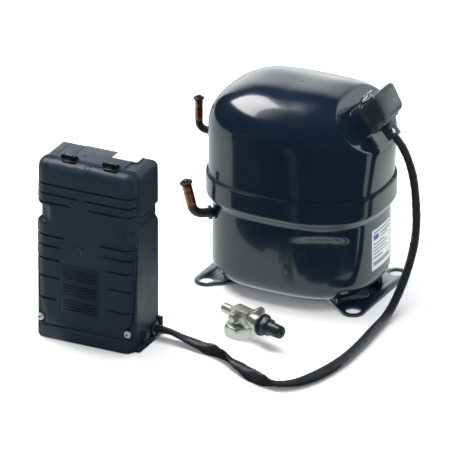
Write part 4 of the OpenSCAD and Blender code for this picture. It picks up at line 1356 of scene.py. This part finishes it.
def build_box_trim():
    """Raised panels and clips on the top, the dimple, blank panel and sticker, the base flange."""
    top = BOX_TOP
    seam = BOX_LOW.y + BOX_SEAM_TOP
    left, right = BOX_LOW.x, BOX_LOW.x + BOX_W
    plastic = MATERIALS["box_plastic"]
    # dark plastic painted as the shade inside holes and slots
    dark = MATERIALS["groove_plastic"]
    tongue_y = seam + 46 * MM
    tongue = slab(
        "tongue", (left + 40 * MM, seam + 5 * MM, top - 1 * MM), (left + 112 * MM, tongue_y, top + 1.4 * MM),
        0.7 * MM, plastic,
    )
    ride_trim(tongue, "box_back")
    # a dark disc painted as the shade in the tongue's hole
    hole = circle_slab("tongue_hole_shade", (left + 52 * MM, seam + 17 * MM, top + 1.45 * MM), 2.6 * MM, dark)
    ride_trim(hole, "box_back")
    # dark strips painted as the shade in the rear slots
    for k, x in enumerate((left + 16 * MM, left + 37 * MM, left + 113.5 * MM)):
        low, high = (x, seam + 3 * MM, top - 1 * MM), (x + 1.6 * MM, tongue_y, top + 0.12 * MM)
        ride_trim(slab(f"rear_slot_shade_{k}", low, high, 0.3 * MM, dark), "box_back")
    # dark strips painted as the shade in the top slots
    for k, x in enumerate((left + 15 * MM, left + 72 * MM)):
        surface_strip(f"top_slot_shade_{k}", x, 1.7 * MM, seam - 0.6 * MM, 0.08 * MM, dark, "box_cover")
    surface_strip("top_field", left + 43.5 * MM, 50 * MM, seam - 1.2 * MM, 0.45 * MM, plastic, "box_cover")
    half, lug, play = 10 * MM, 4 * MM, 0.4 * MM
    for k, x in enumerate((-183 * MM, -126 * MM)):
        hinge_ear(f"rear_ear_{k}_a", x - half, x - half + lug, 1, "box_back")
        hinge_ear(f"rear_ear_{k}_b", x + half - lug, x + half, 1, "box_back")
        hinge_ear(f"front_ear_{k}", x - half + lug + play, x + half - lug - play, -1, "box_cover")
        # the snap hook in front of each hinge
        low = (x - 5 * MM, seam - 9 * MM, top - 0.5 * MM)
        high = (x + 12 * MM, seam - 5.5 * MM, top + 2.2 * MM)
        ride_trim(slab(f"hook_{k}", low, high, 0.6 * MM, MATERIALS["clip_plastic"]), "box_cover")
    ride_trim(dimple_piece(), "box_cover")
    panel = slab(
        "blank_plate", (left + 36 * MM, BOX_LOW.y - 0.3 * MM, 40 * MM),
        (left + 88 * MM, BOX_LOW.y + 1 * MM, 105 * MM), 0.25 * MM, MATERIALS["panel_plastic"],
    )
    ride_trim(panel, "box_cover")
    # three groups of four bars
    heights = [group - 4 * row for group in (98, 77, 56) for row in range(4)]
    bars = [Vector((left + 62 * MM, BOX_LOW.y - 0.3 * MM, z * MM)) for z in heights]
    lines = repeated("panel_bars", bars, "block", (46 * MM, 0.5 * MM, 1.7 * MM), dark, bevel=0.15 * MM)
    ride_trim(lines, "box_cover")
    sticker = slab(
        "sticker", (-138 * MM, -250 * MM, top + 1.3 * MM), (-103 * MM, -227.5 * MM, top + 1.75 * MM),
        0.15 * MM, MATERIALS["sticker"],
    )
    ride_and_replace(sticker, "box_label")
    # the base flange and the gland's housing at the back right
    low_seam = seam - BOX_SEAM_SLOPE
    for name, low, high in (
        ("base_flange", (right - 2 * MM, low_seam + 6 * MM, 0), (right + 5 * MM, BOX_BACK[1].y, 5 * MM)),
        ("base_wall", (right - 2 * MM, low_seam + 22 * MM, 0), (right + 5 * MM, low_seam + 31 * MM, 20 * MM)),
        (
            "base_wall_far", (right - 2 * MM, BOX_BACK[1].y - 5 * MM, 0),
            (right + 5 * MM, BOX_BACK[1].y, 24 * MM),
        ),
    ):
        ride_trim(slab(name, low, high, 1 * MM, plastic), "box_back")


def build_screws():
    """The cover's two screws, each with a washer and a round dark disc painted as the shade of its hexagonal
    recess.
    """
    depth = BOX_LOW.y + 0.4 * MM
    sides = (BOX_LOW.x + 7 * MM, BOX_LOW.x + BOX_W - 7.5 * MM)
    spots = [Vector((x, depth, 26.5 * MM)) for x in sides]
    out = Vector((0, -1, 0))
    steel, dark = MATERIALS["screw_zinc"], MATERIALS["groove_plastic"]
    inside = [p - out * 5 * MM for p in spots]
    shank = repeated("screw_shanks", inside, "disc", (3 * MM, 3 * MM, 12 * MM), steel, out)
    ride_and_replace(shank, "cover_screws")
    # name, distance in front of the cover, size, finish and rounding
    layers = (
        ("screw_washers", 0.4, (9.4, 9.4, 1.0), steel, 0.25),
        ("screw_heads", 1.6, (6.4, 6.4, 2.2), steel, 0.6),
        # the recess is a dark disc of painted shade
        ("screw_recess_shade", 2.5, (2.8, 2.8, 0.5), dark, 0.0),
    )
    for name, height, size, material, bevel in layers:
        discs = repeated(
            name, [p + out * height * MM for p in spots], "disc", tuple(v * MM for v in size), material,
            out, bevel=bevel * MM,
        )
        ride_trim(discs, "cover_screws")


def circle_slab(name, centre, radius, material):
    centre = Vector(centre)
    x, y, z = Vector((1, 0, 0)), Vector((0, 1, 0)), Vector((0, 0, 1))
    rings = [
        circle_points(centre - z * 1 * MM, x, y, radius, 24),
        circle_points(centre + z * 0.05 * MM, x, y, radius, 24),
        circle_points(centre + z * 0.1 * MM, x, y, radius * 0.8, 24),
    ]
    return loft_piece(name, rings, material)


def dimple_piece():
    """The round moulding mark on the cover's face."""
    centre = Vector((BOX_LOW.x + 60 * MM, BOX_LOW.y, 125 * MM))
    x, z, out = Vector((1, 0, 0)), Vector((0, 0, 1)), Vector((0, -1, 0))
    profile = (
        (7.0, -0.6), (7.0, 0.1), (6.3, 0.9), (5.2, 0.9), (4.4, 0.15), (2.4, 0.1), (1.7, 0.5), (0.9, 0.5),
    )
    rings = [circle_points(centre + out * (h * MM), x, z, r * MM, 40) for r, h in profile]
    return loft_piece("dimple", rings, MATERIALS["box_plastic"])


# ---------------------------------------------------------------- labels


def build_labels():
    """A blank white rating plate with grey and blue bars."""
    low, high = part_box("rating_plate")
    mesh = bmesh.new()
    rings = []
    rows = 20
    for i in range(rows + 1):
        y = low.y + (high.y - low.y) * i / rows
        x = plate_x(y)
        rings.append([
            Vector((x + 0.1 * MM, y, low.z)), Vector((x + 0.5 * MM, y, low.z)),
            Vector((x + 0.5 * MM, y, high.z)), Vector((x + 0.1 * MM, y, high.z)),
        ])
    loft(mesh, rings)
    piece = finish_piece("plate_film", mesh, MATERIALS["label"], smooth=False)
    ride_and_replace(piece, "rating_plate")
    # where each bar starts and ends across the plate, and its bottom and top
    printed = (
        (0.06, 0.94, 0.90, 0.94, "print_grey"), (0.06, 0.30, 0.74, 0.86, "print_blue"),
        (0.38, 0.92, 0.80, 0.85, "print_grey"), (0.38, 0.80, 0.73, 0.76, "print_grey"),
        (0.06, 0.60, 0.62, 0.655, "print_grey"), (0.06, 0.80, 0.54, 0.57, "print_grey"),
        (0.06, 0.70, 0.46, 0.49, "print_grey"), (0.06, 0.86, 0.38, 0.41, "print_grey"),
        (0.06, 0.50, 0.28, 0.32, "print_grey"), (0.06, 0.90, 0.10, 0.20, "print_grey"),
    )
    for k, (u0, u1, v0, v1, colour) in enumerate(printed):
        mesh = bmesh.new()
        rings = []
        for i in range(9):
            y = low.y + (high.y - low.y) * (u0 + (u1 - u0) * i / 8)
            x = plate_x(y)
            z0, z1 = low.z + (high.z - low.z) * v0, low.z + (high.z - low.z) * v1
            rings.append([
                Vector((x + 0.45 * MM, y, z0)), Vector((x + 0.56 * MM, y, z0)),
                Vector((x + 0.56 * MM, y, z1)), Vector((x + 0.45 * MM, y, z1)),
            ])
        loft(mesh, rings)
        ride_trim(finish_piece(f"print_{k}", mesh, MATERIALS[colour], smooth=False), "rating_plate")


def plate_x(y):
    """The lower shell's +X side at a given Y."""
    low, high = -0.7, 0.7
    for _ in range(30):
        middle = (low + high) / 2
        point, _ = oval_point(middle, LOWER_INSET)
        if point.y < y:
            low = middle
        else:
            high = middle
    return oval_point((low + high) / 2, LOWER_INSET)[0].x


# ---------------------------------------------------------------- service valve

VALVE_YAW = math.radians(-20)
VALVE_HEIGHT = 26 * MM
# the cap's hexagon: across its flats, and the radius that rounds its corners, in millimetres
CAP_FLATS = 21.5
CAP_CORNERS = 12.0


def valve_ring(along, radius, sides=40):
    """A ring of points round the valve's axis, at a distance along it."""
    ahead = Vector((math.cos(VALVE_YAW), math.sin(VALVE_YAW), 0))
    across = Vector((-ahead.y, ahead.x, 0))
    up = Vector((0, 0, 1))
    centre = VALVE_CENTRE + up * VALVE_HEIGHT + ahead * along * MM
    return circle_points(centre, across, up, radius * MM, sides)


def hex_ring(along, across_flats, limit):
    """A hexagon's ring in the same number of points, rounded where it passes the limit."""
    ring = valve_ring(along, 1.0)
    axis = sum(ring, Vector()) / len(ring)
    points = []
    for k, p in enumerate(ring):
        angle = 2 * math.pi * k / len(ring)
        nearest = round(angle / (math.pi / 3)) * math.pi / 3
        reach = min(across_flats / 2 / math.cos(angle - nearest), limit)
        points.append(axis + (p - axis) * reach)
    return points


def build_cap():
    """The seal cap: a knurled flange, a hexagon and a short round tip with a dimple; and the neck."""
    flange = [(38.4, 11), (38.4, 13.2), (39.0, 13.8), (41.8, 13.8), (42.4, 13.2)]
    tip = [
        (52.6, 10.2), (53.0, 9.2), (53.4, 8.7), (70.4, 8.4), (72.6, 7.8), (73.6, 6.2), (73.8, 3.0),
        (72.8, 2.3), (71.6, 1.3), (71.5, 0.2),
    ]
    rings = [valve_ring(x, r) for x, r in flange]
    rings += [hex_ring(x, CAP_FLATS, CAP_CORNERS) for x in (42.5, 50.6)]
    rings += [valve_ring(x, r) for x, r in tip]
    cap = loft_piece("cap_body", rings, MATERIALS["cap_plastic"])
    sharpen(cap, 32)
    ride_and_replace(cap, "seal_cap")
    ahead = Vector((math.cos(VALVE_YAW), math.sin(VALVE_YAW), 0))
    teeth = valve_ring(40.4, 13.7, sides=44)
    tooth = (1.1 * MM, 1.1 * MM, 2.6 * MM)
    ride_trim(repeated("cap_knurl", teeth, "disc", tooth, MATERIALS["cap_plastic"], ahead), "seal_cap")
    profile = [(17, 8.6), (19.4, 8.8), (21.4, 10.0), (36.6, 10.0), (37.6, 9.4), (37.8, 6.4)]
    neck = loft_piece("valve_neck", [valve_ring(x, r) for x, r in profile], MATERIALS["zinc"])
    ride_trim(sharpen(neck, 35), "valve_body")


# ---------------------------------------------------------------- operators


# soft lights: name, place, width, height and watts
LIGHTS = (
    ("key", (-1.12, 0.18, 1.72), 1.0, 0.85, 44),
    ("top", (0.3, 0.3, 2.6), 2.2, 1.8, 56),
    ("front_fill", (0.6, -2.6, 1.4), 1.4, 1.0, 22),
    ("right_fill", (2.4, 0.2, 1.2), 1.0, 1.4, 5),
)
FLOOR_HALF = 8
# the object's middle as the camera sees it: to the right and up from the origin
FRAMING = (-94.25 * MM, 65 * MM)
# the cards lie just under the floor, so that only the gloss meets them
TABLE_LEVEL = -0.4 * MM
STREAK_LEVEL = -0.5 * MM
TABLE_OUTLINE = (
    (-4, 4), (4, 4), (4, 1.9), (0.21, -0.06), (0.2, -0.2), (0.05, -0.25), (-0.1, -0.235), (-4, -3.4),
)
# bearing and height of the soft box's corners, seen from over the shell, in degrees
SOFTBOX_CORNERS = ((-105, 34), (-54, 53), (-117, 64), (-135, 52))
SOFTBOX_DISTANCE = 1.8
SOFTBOX_EYE = Vector((0, 0, 0.2))


def unit_towards(bearing, height):
    """Unit vector towards a bearing round the object and a height angle."""
    return Vector((
        math.sin(bearing) * math.cos(height), -math.cos(bearing) * math.cos(height), math.sin(height),
    ))


class COMPRESSOR_OT_studio(bpy.types.Operator):
    """Sets the camera, the floor and the soft lights"""

    bl_idname = "compressor.studio"
    bl_label = "Studio"

    def execute(self, context):
        studio = context.scene.compressor_studio
        az = studio.azimuth
        towards = unit_towards(az, studio.elevation)
        right = Vector((math.cos(az), math.sin(az), 0))
        up = towards.cross(right)
        target = right * FRAMING[0] + up * FRAMING[1]
        data = bpy.data.cameras.new("camera")
        data.lens = studio.lens
        data.clip_end = 60
        camera = bpy.data.objects.new("camera", data)
        turn = Matrix((right, up, towards)).transposed().to_4x4()
        camera.matrix_world = Matrix.Translation(target + towards * studio.distance) @ turn
        context.scene.collection.objects.link(camera)
        context.scene.camera = camera
        self.floor(context)
        self.cards()
        self.lights(context)
        return {"FINISHED"}

    def floor(self, context):
        mesh = bmesh.new()
        bmesh.ops.create_grid(mesh, x_segments=1, y_segments=1, size=FLOOR_HALF)
        material = finish("floor", (0.93, 0.93, 0.93), 0.6, variation=0.0, grain=(50, 0.0))
        floor = finish_piece("floor", mesh, material)
        floor.visible_glossy = False
        world = bpy.data.worlds.new("world")
        world.use_nodes = True
        background = world.node_tree.nodes["Background"]
        background.inputs["Color"].default_value = (0.93, 0.96, 1.0, 1)
        background.inputs["Strength"].default_value = 0.5
        world.cycles_visibility.glossy = False
        context.scene.world = world
        context.scene.view_settings.view_transform = "Standard"

    def cards(self):
        """The white table, a faint streak on it, the wall behind, the soft box and the dim room in front."""
        table = [(x, y, TABLE_LEVEL) for x, y in TABLE_OUTLINE]
        self.card("table_card", table, (0.93, 1.0, 0.97), 0.95)
        streak = [(x, y, STREAK_LEVEL) for x, y in ((-0.02, -0.3), (-0.9, -2.6), (-0.62, -2.7), (0.01, -0.3))]
        self.card("streak_card", streak, (0.8, 0.95, 1.0), 0.14)
        wall = [(-4, 3, 0), (4, 3, 0), (4, 3, 3.4), (-4, 3, 3.4)]
        self.card("wall_card", wall, (0.97, 1, 1), 1.6, fade=(0.9, 3.4))
        softbox = [
            unit_towards(math.radians(bearing), math.radians(height)) * SOFTBOX_DISTANCE + SOFTBOX_EYE
            for bearing, height in SOFTBOX_CORNERS
        ]
        self.card("softbox_card", softbox, (1, 0.99, 0.97), 9.0)
        low = [(-4, -3.4, 0), (-0.1, -3.6, 0), (4, -3.2, 0), (4, 1.9, 0)]
        high = [(x, y, 2.4) for x, y, _ in reversed(low)]
        self.card("dark_room", low + high, (0.35, 0.65, 1.0), 0.035)

    def card(self, name, corners, colour, strength, fade=None):
        """A sheet of light seen only by reflections, which may fade out with height."""
        mesh = bmesh.new()
        verts = [mesh.verts.new(c) for c in corners]
        mesh.faces.new(verts)
        material = bpy.data.materials.new(name)
        material.use_nodes = True
        tree = material.node_tree
        glow = tree.nodes.new("ShaderNodeEmission")
        glow.inputs["Color"].default_value = (*colour, 1)
        glow.inputs["Strength"].default_value = strength
        if fade:
            place = tree.nodes.new("ShaderNodeTexCoord")
            parts = tree.nodes.new("ShaderNodeSeparateXYZ")
            ramp_node = tree.nodes.new("ShaderNodeMapRange")
            ramp_node.interpolation_type = "SMOOTHSTEP"
            ramp_node.inputs["From Min"].default_value = fade[0]
            ramp_node.inputs["From Max"].default_value = fade[1]
            ramp_node.inputs["To Min"].default_value = strength
            ramp_node.inputs["To Max"].default_value = 0
            tree.links.new(place.outputs["Object"], parts.inputs["Vector"])
            tree.links.new(parts.outputs["Z"], ramp_node.inputs["Value"])
            tree.links.new(ramp_node.outputs["Result"], glow.inputs["Strength"])
        tree.links.new(glow.outputs["Emission"], tree.nodes["Material Output"].inputs["Surface"])
        card = finish_piece(name, mesh, material, smooth=False)
        for ray in ("camera", "diffuse", "transmission", "shadow", "volume_scatter"):
            setattr(card, "visible_" + ray, False)

    def lights(self, context):
        aim = Vector((0, -0.05, 0.2))
        for name, place, width, height, watts in LIGHTS:
            data = bpy.data.lights.new(name, "AREA")
            data.shape = "RECTANGLE"
            data.size, data.size_y = width, height
            data.energy = watts
            light = bpy.data.objects.new(name, data)
            light.location = place
            light.rotation_euler = (aim - Vector(place)).to_track_quat("-Z", "Y").to_euler()
            light.visible_glossy = False
            context.scene.collection.objects.link(light)


class COMPRESSOR_OT_finishes(bpy.types.Operator):
    """Makes every finish and gives the frame's own nodes theirs"""

    bl_idname = "compressor.finishes"
    bl_label = "Finishes"

    def execute(self, context):
        make_materials()
        for name, node in frame["nodes"].items():
            node.data.materials.clear()
            node.data.materials.append(MATERIALS[SLOTS[name]])
        return {"FINISHED"}


class COMPRESSOR_OT_lead(bpy.types.Operator):
    """Lays the lead's flattened sleeve from the terminal's clamp to the box"""

    bl_idname = "compressor.lead"
    bl_label = "Lead"

    def execute(self, context):
        build_lead()
        return {"FINISHED"}


class COMPRESSOR_OT_shell(bpy.types.Operator):
    """Presses the dome and the bowl and runs the weld between them"""

    bl_idname = "compressor.shell"
    bl_label = "Shell"

    def execute(self, context):
        build_dome()
        build_bowl()
        build_weld()
        build_labels()
        for node in ("foot_rail_left", "foot_rail_right"):
            softened(node, MATERIALS["foot_paint"], 0.8 * MM)
        return {"FINISHED"}


class COMPRESSOR_OT_stubs(bpy.types.Operator):
    """Bends the two copper stubs and plugs them"""

    bl_idname = "compressor.stubs"
    bl_label = "Stubs"

    def execute(self, context):
        build_stubs()
        return {"FINISHED"}


class COMPRESSOR_OT_terminal(bpy.types.Operator):
    """Builds the terminal's fence and its snap-on cover"""

    bl_idname = "compressor.terminal"
    bl_label = "Terminal"

    def execute(self, context):
        build_fence()
        build_cover()
        build_clip()
        softened("cord_clamp", MATERIALS["cover_plastic"], 1.2 * MM, 3)
        softened("clamp_screw", MATERIALS["bright_steel"], 0.4 * MM)
        return {"FINISHED"}


class COMPRESSOR_OT_box(bpy.types.Operator):
    """Moulds the two halves of the electrical box with their grooves"""

    bl_idname = "compressor.box"
    bl_label = "Electrical box"

    def execute(self, context):
        build_box()
        build_box_trim()
        softened("box_gland", MATERIALS["cover_plastic"], 0.8 * MM)
        build_screws()
        return {"FINISHED"}


class COMPRESSOR_OT_valve(bpy.types.Operator):
    """Rounds the service valve's machined pieces and moulds its seal cap"""

    bl_idname = "compressor.valve"
    bl_label = "Service valve"

    def execute(self, context):
        softened("valve_body", MATERIALS["zinc"], 0.9 * MM, 3)
        softened("union_nut", MATERIALS["zinc_nut"], 0.5 * MM)
        softened("port_fittings", MATERIALS["zinc"], 0.4 * MM)
        build_cap()
        return {"FINISHED"}


class COMPRESSOR_PT_panel(bpy.types.Panel):
    """Lists the compressor's pieces and their settings"""

    bl_label = "Compressor"
    bl_idname = "COMPRESSOR_PT_panel"
    bl_space_type = "VIEW_3D"
    bl_region_type = "UI"
    bl_category = "Compressor"

    def draw(self, context):
        layout = self.layout
        scene = context.scene
        for title, group in SETTINGS:
            box = layout.box()
            box.label(text=title)
            settings = getattr(scene, group)
            for key in settings.__annotations__:
                box.prop(settings, key)
        for step in STEPS:
            layout.operator(step.bl_idname)


SETTINGS = (
    ("Shell", "compressor_shell"), ("Electrical box", "compressor_box"), ("Lead", "compressor_lead"),
    ("Service valve", "compressor_valve"), ("Studio", "compressor_studio"),
)
GROUPS = (ShellSettings, BoxSettings, LeadSettings, ValveSettings, StudioSettings)
# in the order in which they are built
STEPS = (
    COMPRESSOR_OT_studio, COMPRESSOR_OT_finishes, COMPRESSOR_OT_lead, COMPRESSOR_OT_shell,
    COMPRESSOR_OT_stubs, COMPRESSOR_OT_terminal, COMPRESSOR_OT_box, COMPRESSOR_OT_valve,
)


def register():
    for group, (_, key) in zip(GROUPS, SETTINGS):
        bpy.utils.register_class(group)
        setattr(bpy.types.Scene, key, bpy.props.PointerProperty(type=group))
    for kind in STEPS + (COMPRESSOR_PT_panel,):
        bpy.utils.register_class(kind)


def unregister():
    for kind in reversed(STEPS + (COMPRESSOR_PT_panel,)):
        bpy.utils.unregister_class(kind)
    for group, (_, key) in zip(GROUPS, SETTINGS):
        delattr(bpy.types.Scene, key)
        bpy.utils.unregister_class(group)


def main():
    register()
    for step in STEPS:
        group, name = step.bl_idname.split(".")
        getattr(getattr(bpy.ops, group), name)()


if __name__ == "__main__":
    main()
